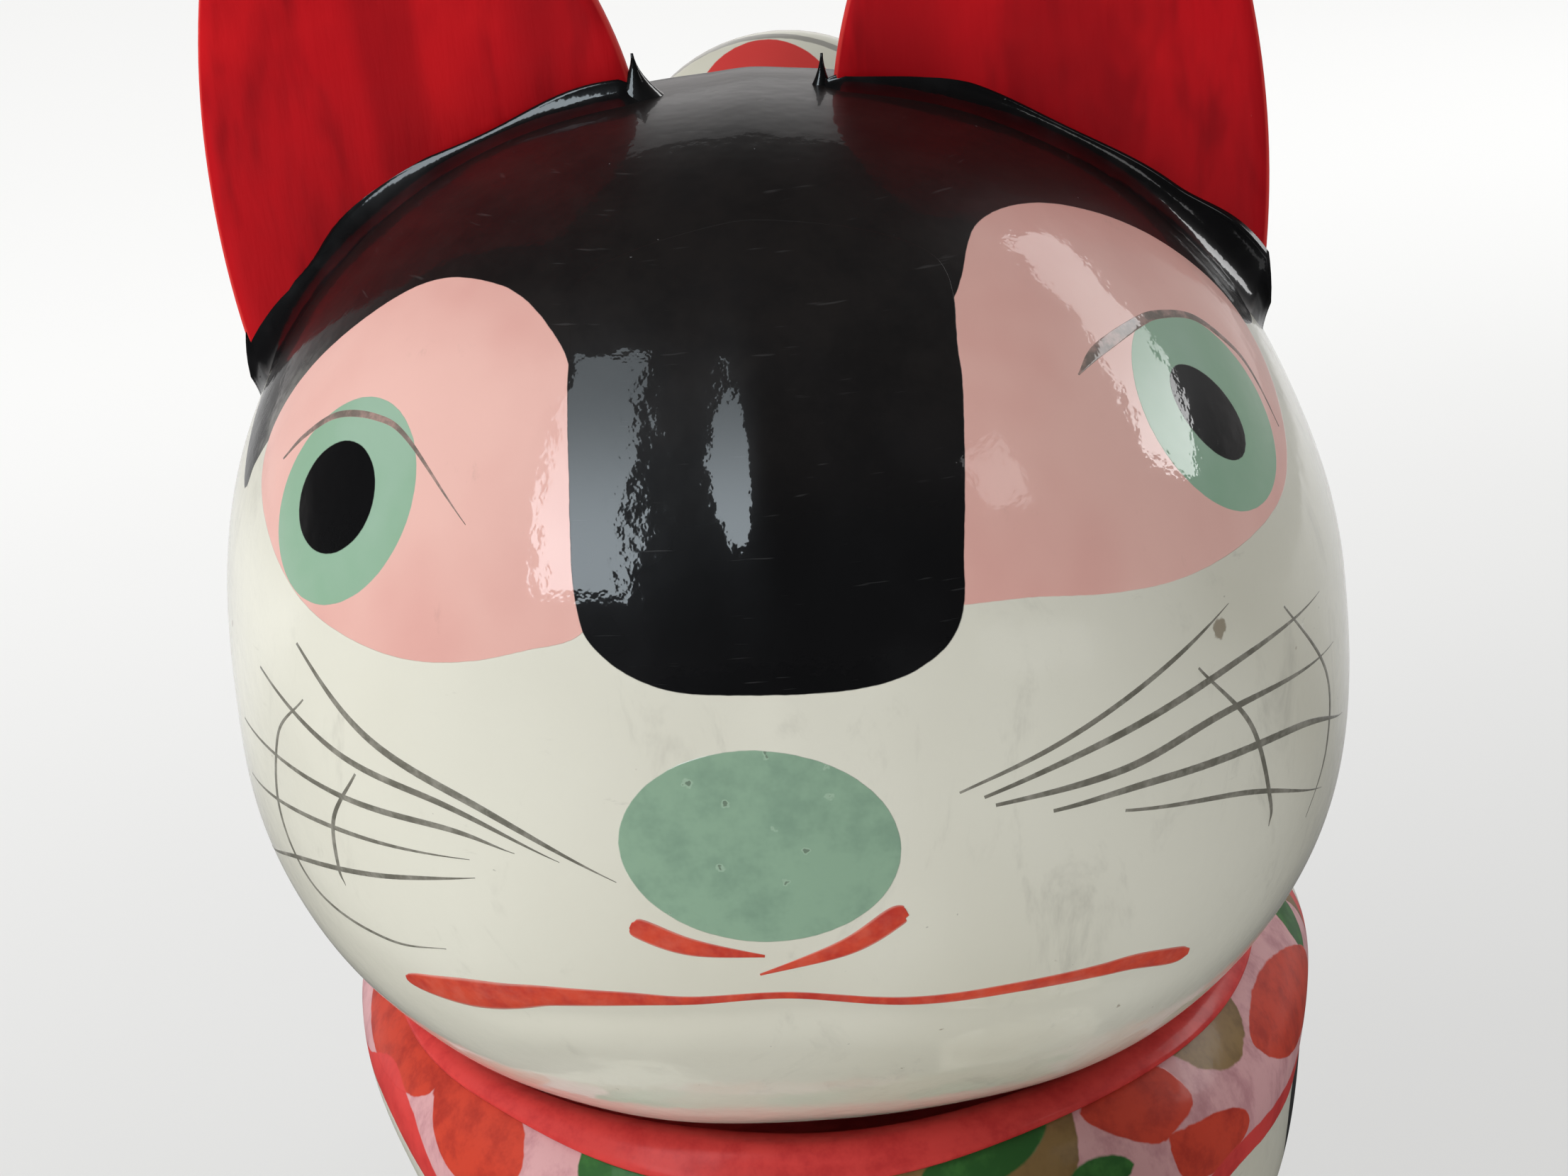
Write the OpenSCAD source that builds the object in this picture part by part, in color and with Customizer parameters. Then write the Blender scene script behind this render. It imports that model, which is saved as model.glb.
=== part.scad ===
// Beckoning cat figurine of lacquered papier-mache, with a nodding head.
// Millimetres, +Z up, the cat faces -Y, the soles stand on Z = 0.
// "Left" and "right" are the cat's own, so its left side is +X.

/* [Head] */
// Width of the head at its cheeks
head_w = 84; // [80:1:88]
// From the head's centre to the tip of the face
head_front = 39; // [37:0.5:41]
// From the head's centre to the back of the skull
head_back = 38; // [36:0.5:40]
// From the head's centre up to the crown
head_up = 40; // [38:0.5:42]
// From the head's centre down to the underside
head_down = 37.5; // [35:0.5:38]
// Exponent of the head's rounded section: 1 is an ellipsoid, less is squarer
head_square = 0.88; // [0.8:0.02:1]
// How much the head narrows towards the crown
head_taper = 0.045; // [0:0.005:0.1]
// Sideways lean of the hand-moulded head, per mm of height
head_lean = 0.03; // [0:0.005:0.04]
// Height of the ridge where the two moulded halves meet
keel_h = 0.5; // [0.2:0.1:0.8]
// Wall of the paper head
head_wall = 1.8; // [1.4:0.1:2.2]
// Height of the head's centre above the ground
head_z = 82; // [82:0.5:84]
// Place of the head's centre, forward of the figure's middle
head_y = -25; // [-26:0.5:-24]

/* [Ears] */
// Thickness of the ear card
ear_t = 1.4; // [1:0.1:2]
// Height of the ear's tip above the head's centre
ear_tip = 71; // [68:1:76]
// Radius of the lacquer bead along the ear's foot
bead_r = 1.1; // [0.8:0.1:1.4]

/* [Body] */
// Greatest half width of the body
body_half_w = 42; // [41:0.5:43]
// Y of the chest's front
chest_y = -52; // [-53:0.5:-51]
// Y of the rump's back
rump_y = 63; // [62:0.5:64]
// Height of the back
back_z = 67; // [65:0.5:69]
// Height of the belly
belly_z = 13; // [12:0.5:14]
// Wall of the paper body
body_wall = 2.2; // [1.8:0.1:2.6]
// Width of the red band around the neck
collar_w = 3.2; // [2.6:0.2:4]
// How far the band stands proud
collar_t = 1; // [0.6:0.1:1.4]

/* [Legs and tail] */
// Radius of a leg at its foot
foot_r = 12.5; // [11.5:0.5:13]
// Thickness of the card under each foot
sole_t = 1; // [0.6:0.1:1.4]
// Greatest half width of the upright tail
tail_half_w = 18.5; // [16:0.5:20]
// Height of the tail's top above the ground
tail_top = 109.5; // [105:0.5:112]

/* [Suspension] */
// Diameter of the bamboo neck post
post_d = 5; // [4:0.5:6]
// Diameter of the two hanger wires
pin_d = 1.2; // [1:0.1:1.6]
// Play on the diameter where a wire turns in wood
pin_play = 0.1; // [0.06:0.02:0.16]
// Height of the nodding axis above the head's centre
nod_up = 13; // [12.5:0.5:16]
// Height of the swaying axis above the head's centre
sway_up = 8; // [7:0.5:8]
// X of the swaying axis: the head hangs level when its weight is under it
pivot_x = -0.1; // [-0.3:0.05:0.3]
// Y of the nodding axis: the head hangs level when its weight is under it
pivot_y = -25.36; // [-26:0.02:-24]

/* [Hidden] */
$fn = 48;

paper = "ivory";
lacquer_red = "firebrick";
bamboo = "burlywood";
steel = "silver";

// Grid steps of the two paper skins
rows = 20;
cols = 24;
// Latitude of the rim of the hole under the head
hole_lat = -76;
// Gap left for glue between pasted pieces
glue = 0.6;

head_c = [0, head_y, head_z];
nod_z = head_z + nod_up;
sway_z = head_z + sway_up;

// ---- small maths ----
function spow(v, e) = sign(v) * pow(abs(v), e);
function clamp(v, lo, hi) = min(max(v, lo), hi);
function smooth(v) = let (c = clamp(v, 0, 1)) c * c * (3 - 2 * c);
function unit(v) = v / norm(v);

// ---- head surface ----
// The ridge fades out below the nose and follows the crown to the back
function keel(x, lat) = keel_h * exp(-pow(x / 2.4, 2)) * smooth((lat + 12) / 30);
// A point of the head: latitude, longitude from the face, side +1 or -1, and depth below the surface
function head_pt(lat, lon, side, depth = 0) =
    let (
        s = spow(sin(lat), head_square),
        rho = pow(abs(cos(lat)), head_square),
        z = (s > 0 ? head_up - depth : head_down - depth) * s,
        x = (head_w / 2 - depth) * (1 - head_taper * z / 40) * rho * spow(sin(lon), head_square),
        y = -(cos(lon) > 0 ? head_front - depth : head_back - depth) * rho * spow(cos(lon), head_square),
        grow = depth > 0 ? 1 : 1 + keel(x, lat) / norm([x, y, z])
    )
    head_c + [side * x * grow - head_lean * z * grow, y * grow, z * grow];

// ---- body surface ----
// The body is solved outwards from this inner point
core = [0, 5, 34];
body_mid = (chest_y + rump_y) / 2;
body_len = rump_y - chest_y;
waist_dip = 1.3;
function body_w(y) = body_half_w - 2 * waist_dip * pow(sin(180 * clamp((y + 14) / 52, 0, 1)), 2);
shoulder_z = 57;
function body_top(y) = shoulder_z + (back_z - shoulder_z) * smooth((y - 3) / 26);
function body_bottom(y) = belly_z + 3 * pow(sin(180 * clamp((y - chest_y) / body_len, 0, 1)), 2);
section_p = 2.8;
plan_p = 2.6;
// Below 0 inside the body and above 0 outside it
function body_f(p) =
    let (
        top = body_top(p[1]),
        low = body_bottom(p[1]),
        r = pow(abs(p[0] / body_w(p[1])), section_p)
            + pow(abs((p[2] - (top + low) / 2) / ((top - low) / 2)), section_p),
        e = abs((p[1] - body_mid) / (body_len / 2))
    )
    pow(r, plan_p / section_p) + pow(e, plan_p) - 1;
function body_r(dir, lo = 5, hi = 75, n = 18) =
    n == 0 ? (lo + hi) / 2
    : let (m = (lo + hi) / 2)
      body_f(core + dir * m) > 0 ? body_r(dir, lo, m, n - 1) : body_r(dir, m, hi, n - 1);
// The surface point seen from the core in a direction, raised by lift
function drape(p, lift) = let (d = unit(p - core)) core + d * (body_r(d) + lift);

// The neck opening is centred on an axis that leans forward
neck_axis_up = 58;
rim_front = 43.4;
rim_side = 54.9;
function rim(around) = rim_front + (rim_side - rim_front) * pow(abs(sin(around)), 3);
function body_dir(off, around) =
    let (
        n = [0, -cos(neck_axis_up), sin(neck_axis_up)],
        f = [0, -sin(neck_axis_up), -cos(neck_axis_up)]
    )
    n * cos(off) + (f * cos(around) + [1, 0, 0] * sin(around)) * sin(off);
function body_pt(off, around, lift) =
    let (d = body_dir(off, around)) core + d * (body_r(d) + lift);

// Height of the surface on the upright line through x, y, between a height inside and one outside
mid_z = 38;
function skin_z(x, y, in_z, out_z, n = 16) =
    n == 0 ? (in_z + out_z) / 2
    : let (m = (in_z + out_z) / 2)
      body_f([x, y, m]) > 0 ? skin_z(x, y, in_z, m, n - 1) : skin_z(x, y, m, out_z, n - 1);
function under(ring) = [for (p = ring) [p[0], p[1], skin_z(p[0], p[1], mid_z, 0) - glue]];
function over(ring) = [for (p = ring) [p[0], p[1], skin_z(p[0], p[1], mid_z, 80) + glue]];

// ---- solids from grids ----
// A skin half with a rim, two seam edges and a tip: rows of outer and inner points
module half_skin(outer, inner, tip_out, tip_in, flip) {
    n = len(outer);
    m = len(outer[0]) - 1;
    w = m + 1;
    k = n * w + 1;
    pts = concat([for (r = outer) for (p = r) p], [tip_out], [for (r = inner) for (p = r) p], [tip_in]);
    t = n * w;
    faces = concat(
        [for (i = [0:n - 2], j = [0:m - 1]) [i * w + j, (i + 1) * w + j, (i + 1) * w + j + 1]],
        [for (i = [0:n - 2], j = [0:m - 1]) [i * w + j, (i + 1) * w + j + 1, i * w + j + 1]],
        [for (i = [0:n - 2], j = [0:m - 1]) [k + i * w + j, k + (i + 1) * w + j + 1, k + (i + 1) * w + j]],
        [for (i = [0:n - 2], j = [0:m - 1]) [k + i * w + j, k + i * w + j + 1, k + (i + 1) * w + j + 1]],
        [for (j = [0:m - 1]) [(n - 1) * w + j, t, (n - 1) * w + j + 1]],
        [for (j = [0:m - 1]) [k + (n - 1) * w + j, k + (n - 1) * w + j + 1, k + t]],
        [for (j = [0:m - 1]) [j, j + 1, k + j + 1]],
        [for (j = [0:m - 1]) [j, k + j + 1, k + j]],
        [for (i = [0:n - 2]) [(i + 1) * w, i * w, k + i * w]],
        [for (i = [0:n - 2]) [(i + 1) * w, k + i * w, k + (i + 1) * w]],
        [for (i = [0:n - 2]) [i * w + m, (i + 1) * w + m, k + (i + 1) * w + m]],
        [for (i = [0:n - 2]) [i * w + m, k + (i + 1) * w + m, k + i * w + m]],
        [[t, (n - 1) * w, k + (n - 1) * w], [t, k + (n - 1) * w, k + t]],
        [[(n - 1) * w + m, t, k + t], [(n - 1) * w + m, k + t, k + (n - 1) * w + m]]
    );
    polyhedron(points = pts, faces = flip ? [for (f = faces) [f[0], f[2], f[1]]] : faces, convexity = 8);
}

// A closed loft through equal rings, capped at both ends
module loft(rings) {
    n = len(rings);
    m = len(rings[0]);
    pts = [for (r = rings) for (p = r) p];
    faces = concat(
        [for (i = [0:n - 2], j = [0:m - 1]) [i * m + j, i * m + (j + 1) % m, (i + 1) * m + (j + 1) % m]],
        [for (i = [0:n - 2], j = [0:m - 1]) [i * m + j, (i + 1) * m + (j + 1) % m, (i + 1) * m + j]],
        [for (j = [1:m - 2]) [0, j + 1, j]],
        [for (j = [1:m - 2]) [(n - 1) * m, (n - 1) * m + j, (n - 1) * m + j + 1]]
    );
    polyhedron(points = pts, faces = [for (f = faces) [f[0], f[2], f[1]]], convexity = 6);
}

// A closed band: its sections run once around and join up
module ring_loft(sections) {
    n = len(sections);
    m = len(sections[0]);
    pts = [for (r = sections) for (p = r) p];
    faces = concat(
        [for (i = [0:n - 1], j = [0:m - 1])
            [i * m + j, i * m + (j + 1) % m, ((i + 1) % n) * m + (j + 1) % m]],
        [for (i = [0:n - 1], j = [0:m - 1])
            [i * m + j, ((i + 1) % n) * m + (j + 1) % m, ((i + 1) % n) * m + j]]
    );
    polyhedron(points = pts, faces = faces, convexity = 6);
}

// ---- head pieces ----
module head_shell(side) {
    step = (90 - hole_lat) / rows;
    half_skin(
        [for (i = [0:rows - 1]) [for (j = [0:cols]) head_pt(hole_lat + step * i, 180 * j / cols, side)]],
        [for (i = [0:rows - 1])
            [for (j = [0:cols]) head_pt(hole_lat + step * i, 180 * j / cols, side, head_wall)]],
        head_pt(90, 0, side),
        head_pt(90, 0, side, head_wall),
        side < 0
    );
}

// Paper strip pasted inside over the seam, from the chin over the crown to the nape
strip_half = 4;
strip_t = 0.8;
// Clear of the shell, with the shell's curve across the strip allowed for
strip_gap = 0.45;
module seam_arc(points_out, points_in) {
    loft([for (i = [0:len(points_out) - 1])
        [
            points_out[i] + [-strip_half, 0, 0],
            points_out[i] + [strip_half, 0, 0],
            points_in[i] + [strip_half, 0, 0],
            points_in[i] + [-strip_half, 0, 0]
        ]]);
}
module head_seam_strip() {
    lats = [for (i = [0:22]) -70 + 160 * i / 22];
    sweep = concat([for (a = lats) [a, 0]], [for (i = [1:22]) [lats[22 - i], 180]]);
    color(paper)
        seam_arc(
            [for (a = sweep) head_pt(a[0], a[1], 1, head_wall + strip_gap)],
            [for (a = sweep) head_pt(a[0], a[1], 1, head_wall + strip_gap + strip_t)]
        );
}

// The ear card's outline, in X and height above the head's centre, and its foot along the head
ear_plane = 1;
function head_edge(x) =
    let (lat = head_edge_lat(x, 5, 88)) head_pt(lat, 90, 1)[2] - head_z;
function head_edge_lat(x, lo, hi, n = 16) =
    n == 0 ? lo
    : let (m = (lo + hi) / 2, p = head_pt(m, 90, 1))
      p[0] + head_lean * (p[2] - head_z) > x ? head_edge_lat(x, m, hi, n - 1) : head_edge_lat(x, lo, m, n - 1);
ear_in_x = 7.6;
ear_out_x = 37.2;
// One curve from a foot corner towards the tip: quadratic through a shoulder point
function bend(a, b, c, t) = a * (1 - t) * (1 - t) + b * 2 * t * (1 - t) + c * t * t;
module ear(side) {
    z_in = head_edge(ear_in_x) + 0.1;
    z_out = head_edge(ear_out_x) + 0.1;
    tip_r = 3.4;
    tip = [26.5, ear_tip - tip_r];
    foot = [for (i = [0:16])
        let (x = ear_out_x + (ear_in_x - ear_out_x) * i / 16) [x, head_edge(x) + 0.1]];
    inner = [for (i = [1:10])
        bend([ear_in_x, z_in], [10, z_in + 13], tip + tip_r * [cos(145), sin(145)], i / 10)];
    crown = [for (a = [130:-15:40]) tip + tip_r * [cos(a), sin(a)]];
    outer = [for (i = [0:11])
        bend(tip + tip_r * [cos(28), sin(28)], [42.2, 45], [ear_out_x, z_out], i / 12)];
    outline = [for (p = concat(foot, inner, crown, outer)) [side * p[0] - head_lean * p[1], p[1]]];
    color(lacquer_red)
        translate([0, head_y + ear_plane + ear_t / 2, head_z])
            rotate([90, 0, 0])
                linear_extrude(ear_t)
                    polygon(side > 0 ? outline : [for (i = [len(outline) - 1:-1:0]) outline[i]]);
}

module ear_bead(side) {
    front = head_y + ear_plane - ear_t / 2 - bead_r - 0.05;
    n = 18;
    color("black")
        loft([for (i = [0:n])
            let (
                x = ear_in_x - 1 + (ear_out_x - 0.4 - ear_in_x + 1) * i / n,
                z = head_edge(x),
                dz = (head_edge(x + 0.1) - head_edge(x - 0.1)) / 0.2,
                out = unit([-dz, 1]),
                c = [x, z] + out * (bead_r + 0.1)
            )
            [for (k = [0:7])
                let (
                    a = side * 45 * k,
                    q = c + out * bead_r * cos(a)
                )
                [side * q[0] - head_lean * q[1], front + bead_r * sin(a), head_z + q[1]]]]);
}

// ---- suspension inside the head ----
// Wood left around a wire hole, above and below
hole_wood = 3.5;
bar_z = nod_z + 6;
bar_h = 3.5;
bar_depth = 6;
lug_x = 6.5;
lug_t = 3;
function head_inside(h) =
    let (
        s = h / (head_up - head_wall),
        c = sqrt(1 - pow(pow(s, 1 / head_square), 2))
    )
    (head_w / 2 - head_wall) * (1 - head_taper * h / 40) * pow(c, head_square);
module head_crossbar() {
    low = head_inside(bar_z - head_z) - 0.5;
    high = head_inside(bar_z + bar_h - head_z) - 0.5;
    lean_low = -head_lean * (bar_z - head_z);
    lean_high = -head_lean * (bar_z + bar_h - head_z);
    color(bamboo)
        translate([0, pivot_y + bar_depth / 2, bar_z])
            rotate([90, 0, 0])
                linear_extrude(bar_depth)
                    polygon([[-low + lean_low, 0], [low + lean_low, 0],
                        [high + lean_high, bar_h], [-high + lean_high, bar_h]]);
}
module head_lugs() {
    color(bamboo)
        for (side = [-1, 1])
            difference() {
                translate([pivot_x + side * (lug_x + lug_t / 2) - lug_t / 2, pivot_y - bar_depth / 2, nod_z - hole_wood])
                    cube([lug_t, bar_depth, bar_z - nod_z + hole_wood]);
                translate([pivot_x + side * (lug_x + lug_t / 2), pivot_y, nod_z])
                    rotate([0, 90, 0])
                        cylinder(d = pin_d + pin_play, h = lug_t + 2, center = true);
            }
}
block_x = 9;
block_y = 14;
block_low = sway_z - hole_wood;
block_top = nod_z + hole_wood;
// Room for the post in the block, along Y and above the swaying wire
slot_y = post_d + 1.2;
slot_up = 3.4;
module hanger_block() {
    color(bamboo)
        difference() {
            translate([pivot_x - block_x / 2, pivot_y - block_y / 2, block_low])
                cube([block_x, block_y, block_top - block_low]);
            translate([-block_x, pivot_y - slot_y / 2, block_low - 1])
                cube([2 * block_x, slot_y, sway_z + slot_up - block_low + 1]);
            translate([pivot_x, pivot_y, sway_z])
                rotate([90, 0, 0])
                    cylinder(d = pin_d, h = block_y + 2, center = true);
            translate([pivot_x, pivot_y, nod_z])
                rotate([0, 90, 0])
                    cylinder(d = pin_d, h = block_x + 2, center = true);
        }
}
module sway_pin() {
    color(steel)
        translate([pivot_x, pivot_y, sway_z])
            rotate([90, 0, 0])
                cylinder(d = pin_d, h = block_y + 1, center = true);
}
module nod_pin() {
    color(steel)
        translate([pivot_x, pivot_y, nod_z])
            rotate([0, 90, 0])
                cylinder(d = pin_d, h = 2 * (lug_x + lug_t) + 3, center = true);
}
beam_z = 31;
beam_h = 6;
beam_w = 8;
// Half length of the cross, which ends just inside the body shells
beam_half = 34.6;
module neck_post() {
    color(bamboo)
        difference() {
            translate([pivot_x, pivot_y, beam_z])
                cylinder(d = post_d, h = sway_z + slot_up - 1 - beam_z);
            translate([pivot_x, pivot_y, sway_z])
                rotate([90, 0, 0])
                    cylinder(d = pin_d + pin_play, h = post_d + 2, center = true);
        }
}
module post_crossbar() {
    color(bamboo)
        difference() {
            translate([-beam_half, pivot_y - beam_w / 2, beam_z])
                cube([2 * beam_half, beam_w, beam_h]);
            translate([pivot_x, pivot_y, beam_z - 1])
                cylinder(d = post_d, h = beam_h + 2);
        }
}

// ---- body pieces ----
module body_shell(side) {
    function ring(i, lift) = [for (j = [0:cols])
        let (
            a = 180 * j / cols,
            off = rim(a) + (180 - rim(a)) * i / rows,
            p = body_pt(off, a, lift)
        )
        [side * p[0], p[1], p[2]]];
    color(paper)
        half_skin(
            [for (i = [0:rows - 1]) ring(i, 0)],
            [for (i = [0:rows - 1]) ring(i, -body_wall)],
            body_pt(180, 0, 0),
            body_pt(180, 0, -body_wall),
            side > 0
        );
}
// The strip stops short of the neck cap
strip_off = rim_front + 7;
module body_seam_strip() {
    function at(lift) = concat(
        [for (i = [0:17]) body_pt(strip_off + (180 - strip_off) * i / 17, 0, lift)],
        [for (i = [1:17]) body_pt(180 - (180 - strip_off) * i / 17, 180, lift)]
    );
    color(paper) seam_arc(at(-body_wall - strip_gap), at(-body_wall - strip_gap - strip_t));
}
// Dished paper disc that closes the neck under the head and steadies the post
module neck_cap() {
    n = 6;
    m = 36;
    cap_t = 1.2;
    dish = head_z - head_down - 4.5;
    hub = [pivot_x, pivot_y];
    hole = post_d / 2 + 0.15;
    edge_drop = 2.2;
    edge_gap = 0.2;
    dish_power = 2.4;
    function level(i, j, down) =
        let (
            edge = body_pt(rim(360 * j / m) + edge_drop, 360 * j / m, -body_wall - edge_gap),
            e = [edge[0], edge[1]] - hub,
            a = atan2(e[1], e[0]),
            t = i / n,
            r = hole + (norm(e) - hole) * t
        )
        [hub[0] + r * cos(a), hub[1] + r * sin(a), dish + (edge[2] - dish) * pow(t, dish_power) - down];
    color(paper)
        ring_loft([for (j = [m - 1:-1:0])
            concat([for (i = [0:n]) level(i, j, 0)], [for (i = [n:-1:0]) level(i, j, cap_t)])]);
}
// The band starts this many degrees outside the rim, and lies this far off the paper
band_inset = 0.15;
band_gap = 0.25;
module collar_band() {
    color(lacquer_red)
        ring_loft([for (j = [0:59])
            let (
                a = 6 * j,
                spread = collar_w / 2 * 57.3 / norm(body_pt(rim(a), a, 0) - core),
                mid = rim(a) + spread + band_inset
            )
            [
                body_pt(mid - spread, a, band_gap),
                body_pt(mid - spread, a, collar_t * 0.6),
                body_pt(mid - spread * 0.5, a, collar_t),
                body_pt(mid + spread * 0.5, a, collar_t),
                body_pt(mid + spread, a, collar_t * 0.6),
                body_pt(mid + spread, a, band_gap)
            ]]);
}

// ---- legs ----
rear_y = 41;
front_y = -35;
rear_x = 25;
standing_x = -22;
// A leg's upper end is drawn in towards the middle of the body and follows its underside
leg_draw = 0.93;
leg_top_r = 11;
sides = 28;
function circle_at(x, y, z, r, long = 0) = [for (k = [0:sides - 1])
    let (a = 360 * k / sides) [x + r * cos(a), y + r * sin(a) - long * pow(max(0, -sin(a)), 2), z]];
module leg(x, y) {
    color(paper)
        loft([
            circle_at(x, y, sole_t, foot_r - 0.5, 2),
            circle_at(x, y, sole_t + 1, foot_r, 2.4),
            circle_at(x, y, sole_t + 4, foot_r + 0.4, 2),
            circle_at(x, y, sole_t + 7, foot_r, 0.8),
            circle_at(x, y, sole_t + 10, foot_r + 0.6),
            for (part = [1:-0.2:0.1]) under(circle_at(x * leg_draw, y * leg_draw, 0, leg_top_r * part))
        ]);
}
module standing_foreleg() leg(standing_x, front_y);
module rear_left_leg() leg(rear_x, rear_y);
module rear_right_leg() leg(-rear_x, rear_y);

// The raised foreleg: centres, half widths across and along, from shoulder to curled paw
arm = [
    [[23, -47.6, 26.5], 12.0, 11.5],
    [[23.5, -52.1, 25.5], 11.4, 10.4],
    [[23.5, -56.1, 26.5], 10.6, 9.0],
    [[23, -58.4, 30.5], 9.8, 7.4],
    [[22.2, -58.8, 35.5], 9.4, 6.8],
    [[21.4, -58.8, 40.5], 9.8, 7.2],
    [[20.8, -59.2, 45], 9.8, 7.4],
    [[20.5, -59.8, 48.2], 7.4, 5.6],
    [[20.4, -60.2, 49.8], 2.0, 1.5]
];
arm_turn = [-14, -4, 25, 62, 86, 92, 96, 98, 98];
function arm_ring(i, grow = 1) = [for (k = [0:sides - 1])
    let (
        a = 360 * k / sides,
        c = arm[i][0],
        u = arm[i][1] * grow * cos(a),
        v = arm[i][2] * grow * sin(a)
    )
    c + [u, -v * sin(arm_turn[i]), -v * cos(arm_turn[i])]];
module beckoning_foreleg() {
    color(paper)
        loft(concat(
            [[for (p = arm_ring(0, 0.05)) drape(p, glue)]],
            [[for (p = arm_ring(0, 0.5)) drape(p, glue)]],
            [[for (p = arm_ring(0, 1)) drape(p, glue)]],
            [for (i = [1:len(arm) - 1]) arm_ring(i)]
        ));
}
module foot_soles() {
    color("tan")
        for (p = [[standing_x, front_y], [rear_x, rear_y], [-rear_x, rear_y]])
            translate([p[0], p[1] - 0.8, 0]) cylinder(r = foot_r - 0.8, h = sole_t);
}
leg_peg_d = 3;
leg_peg_low = 6;
leg_peg_h = 16;
module leg_pegs() {
    color(bamboo)
        for (p = [[standing_x, front_y], [rear_x, rear_y], [-rear_x, rear_y]])
            translate([p[0], p[1], leg_peg_low]) cylinder(d = leg_peg_d, h = leg_peg_h);
}

// ---- tail ----
// An upright egg of a tail: its foot is an oval on the rump, its widest part is past the middle
tail_y = 50;
tail_foot = [12, 7.5];
tail_low = 61;
tail_steps = 14;
tail_widest = 0.56;
tail_thick = 9.5;
function tail_round(s) =
    s < tail_widest ? 1 : sqrt(max(0, 1 - pow((s - tail_widest) / (1 - tail_widest), 2)));
function tail_oval(u, v, y, z) = [for (k = [0:23]) [u * cos(15 * k), y + v * sin(15 * k), z]];
function tail_ring(s) =
    let (grow = smooth(s / tail_widest))
    tail_oval(
        max(0.6, (tail_foot[0] + (tail_half_w - tail_foot[0]) * grow) * tail_round(s)),
        max(0.4, (tail_foot[1] + (tail_thick - tail_foot[1]) * grow) * tail_round(s)),
        tail_y + 8 * sin(100 * s),
        tail_low + (tail_top - tail_low) * s
    );
module tail() {
    color(paper)
        loft(concat(
            [for (part = [0.1:0.3:1]) over(tail_oval(tail_foot[0] * part, tail_foot[1] * part, tail_y, 0))],
            [for (i = [0:tail_steps]) tail_ring(i / tail_steps)]
        ));
}
tail_peg_d = 4;
tail_peg_low = 50;
tail_peg_h = 20;
module tail_peg() {
    color(bamboo) translate([0, tail_y, tail_peg_low]) cylinder(d = tail_peg_d, h = tail_peg_h);
}

// ---- ballast ----
ballast = [2, 25];
module clay_ballast() {
    color("sienna")
        translate([ballast[0], ballast[1], 0])
            rotate_extrude()
                polygon([[0, 19.5], [12, 19.8], [19, 21.8], [22, 25.5], [21.5, 31], [16, 35], [0, 37]]);
}

module ear_left() ear(1);
module ear_right() ear(-1);
module ear_left_bead() ear_bead(1);
module ear_right_bead() ear_bead(-1);
module head_left_shell() color(paper) head_shell(1);
module head_right_shell() color(paper) head_shell(-1);
module body_left_shell() body_shell(1);
module body_right_shell() body_shell(-1);

body_left_shell();
body_right_shell();
body_seam_strip();
neck_cap();
collar_band();
standing_foreleg();
beckoning_foreleg();
rear_left_leg();
rear_right_leg();
foot_soles();
leg_pegs();
tail();
tail_peg();
clay_ballast();
post_crossbar();
neck_post();
hanger_block();
sway_pin();
nod_pin();
head_lugs();
head_crossbar();
head_left_shell();
head_right_shell();
head_seam_strip();
ear_left();
ear_right();
ear_left_bead();
ear_right_bead();
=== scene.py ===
"""Beckoning cat figurine of lacquered papier-mache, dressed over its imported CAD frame.

Lengths are millimetres and become metres where a mesh is made. The cat faces -Y and
its own left side is +X, so its left is on the right of the main view.
"""
import math

import bpy
import numpy as np
from mathutils import Matrix, Vector


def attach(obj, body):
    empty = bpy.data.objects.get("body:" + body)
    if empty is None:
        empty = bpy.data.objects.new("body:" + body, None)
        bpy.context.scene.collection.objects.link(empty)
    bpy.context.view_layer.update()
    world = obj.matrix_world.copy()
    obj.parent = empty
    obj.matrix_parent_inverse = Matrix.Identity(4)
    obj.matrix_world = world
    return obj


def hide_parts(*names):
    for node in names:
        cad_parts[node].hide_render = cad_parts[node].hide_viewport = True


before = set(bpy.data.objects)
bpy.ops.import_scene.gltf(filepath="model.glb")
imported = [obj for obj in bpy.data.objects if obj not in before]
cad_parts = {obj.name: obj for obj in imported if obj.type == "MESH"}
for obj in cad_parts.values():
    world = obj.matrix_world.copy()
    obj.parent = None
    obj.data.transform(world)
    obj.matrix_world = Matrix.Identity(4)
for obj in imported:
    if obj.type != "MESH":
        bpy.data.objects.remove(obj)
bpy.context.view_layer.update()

MM = 0.001
# A signed distance that counts as far outside every painted area
FAR = 9.0
rng = np.random.default_rng(11)


# ---- maths
def smooth(v):
    c = np.clip(v, 0, 1)
    return c * c * (3 - 2 * c)


def bell(v, width):
    return np.exp(-(v / width) ** 2)


def arch(v):
    return np.sin(np.pi * np.clip(v, 0, 1)) ** 2


def unit(v):
    return v / np.linalg.norm(v, axis=-1, keepdims=True)


def spline(points, steps=12, closed=False):
    """A Catmull-Rom curve through a few points of any dimension."""
    p = np.array(points, float)
    if closed:
        p = np.vstack([p[-1:], p, p[:2]])
    else:
        p = np.vstack([2 * p[:1] - p[1:2], p, 2 * p[-1:] - p[-2:-1]])
    t = np.arange(steps)[:, None] / steps
    out = []
    for a, b, c, d in zip(p, p[1:], p[2:], p[3:]):
        out.append(b + 0.5 * t * (c - a + t * (2 * a - 5 * b + 4 * c - d + t * (3 * b - a - 3 * c + d))))
    if not closed:
        out.append(p[-2:-1])
    return np.vstack(out)


def crossing(level, low, high, steps=26):
    """Where a level turns positive between low and high, found by halving."""
    for _ in range(steps):
        mid = (low + high) / 2
        out = level(mid) > 0
        high = np.where(out, mid, high)
        low = np.where(out, low, mid)
    return (low + high) / 2


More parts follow.
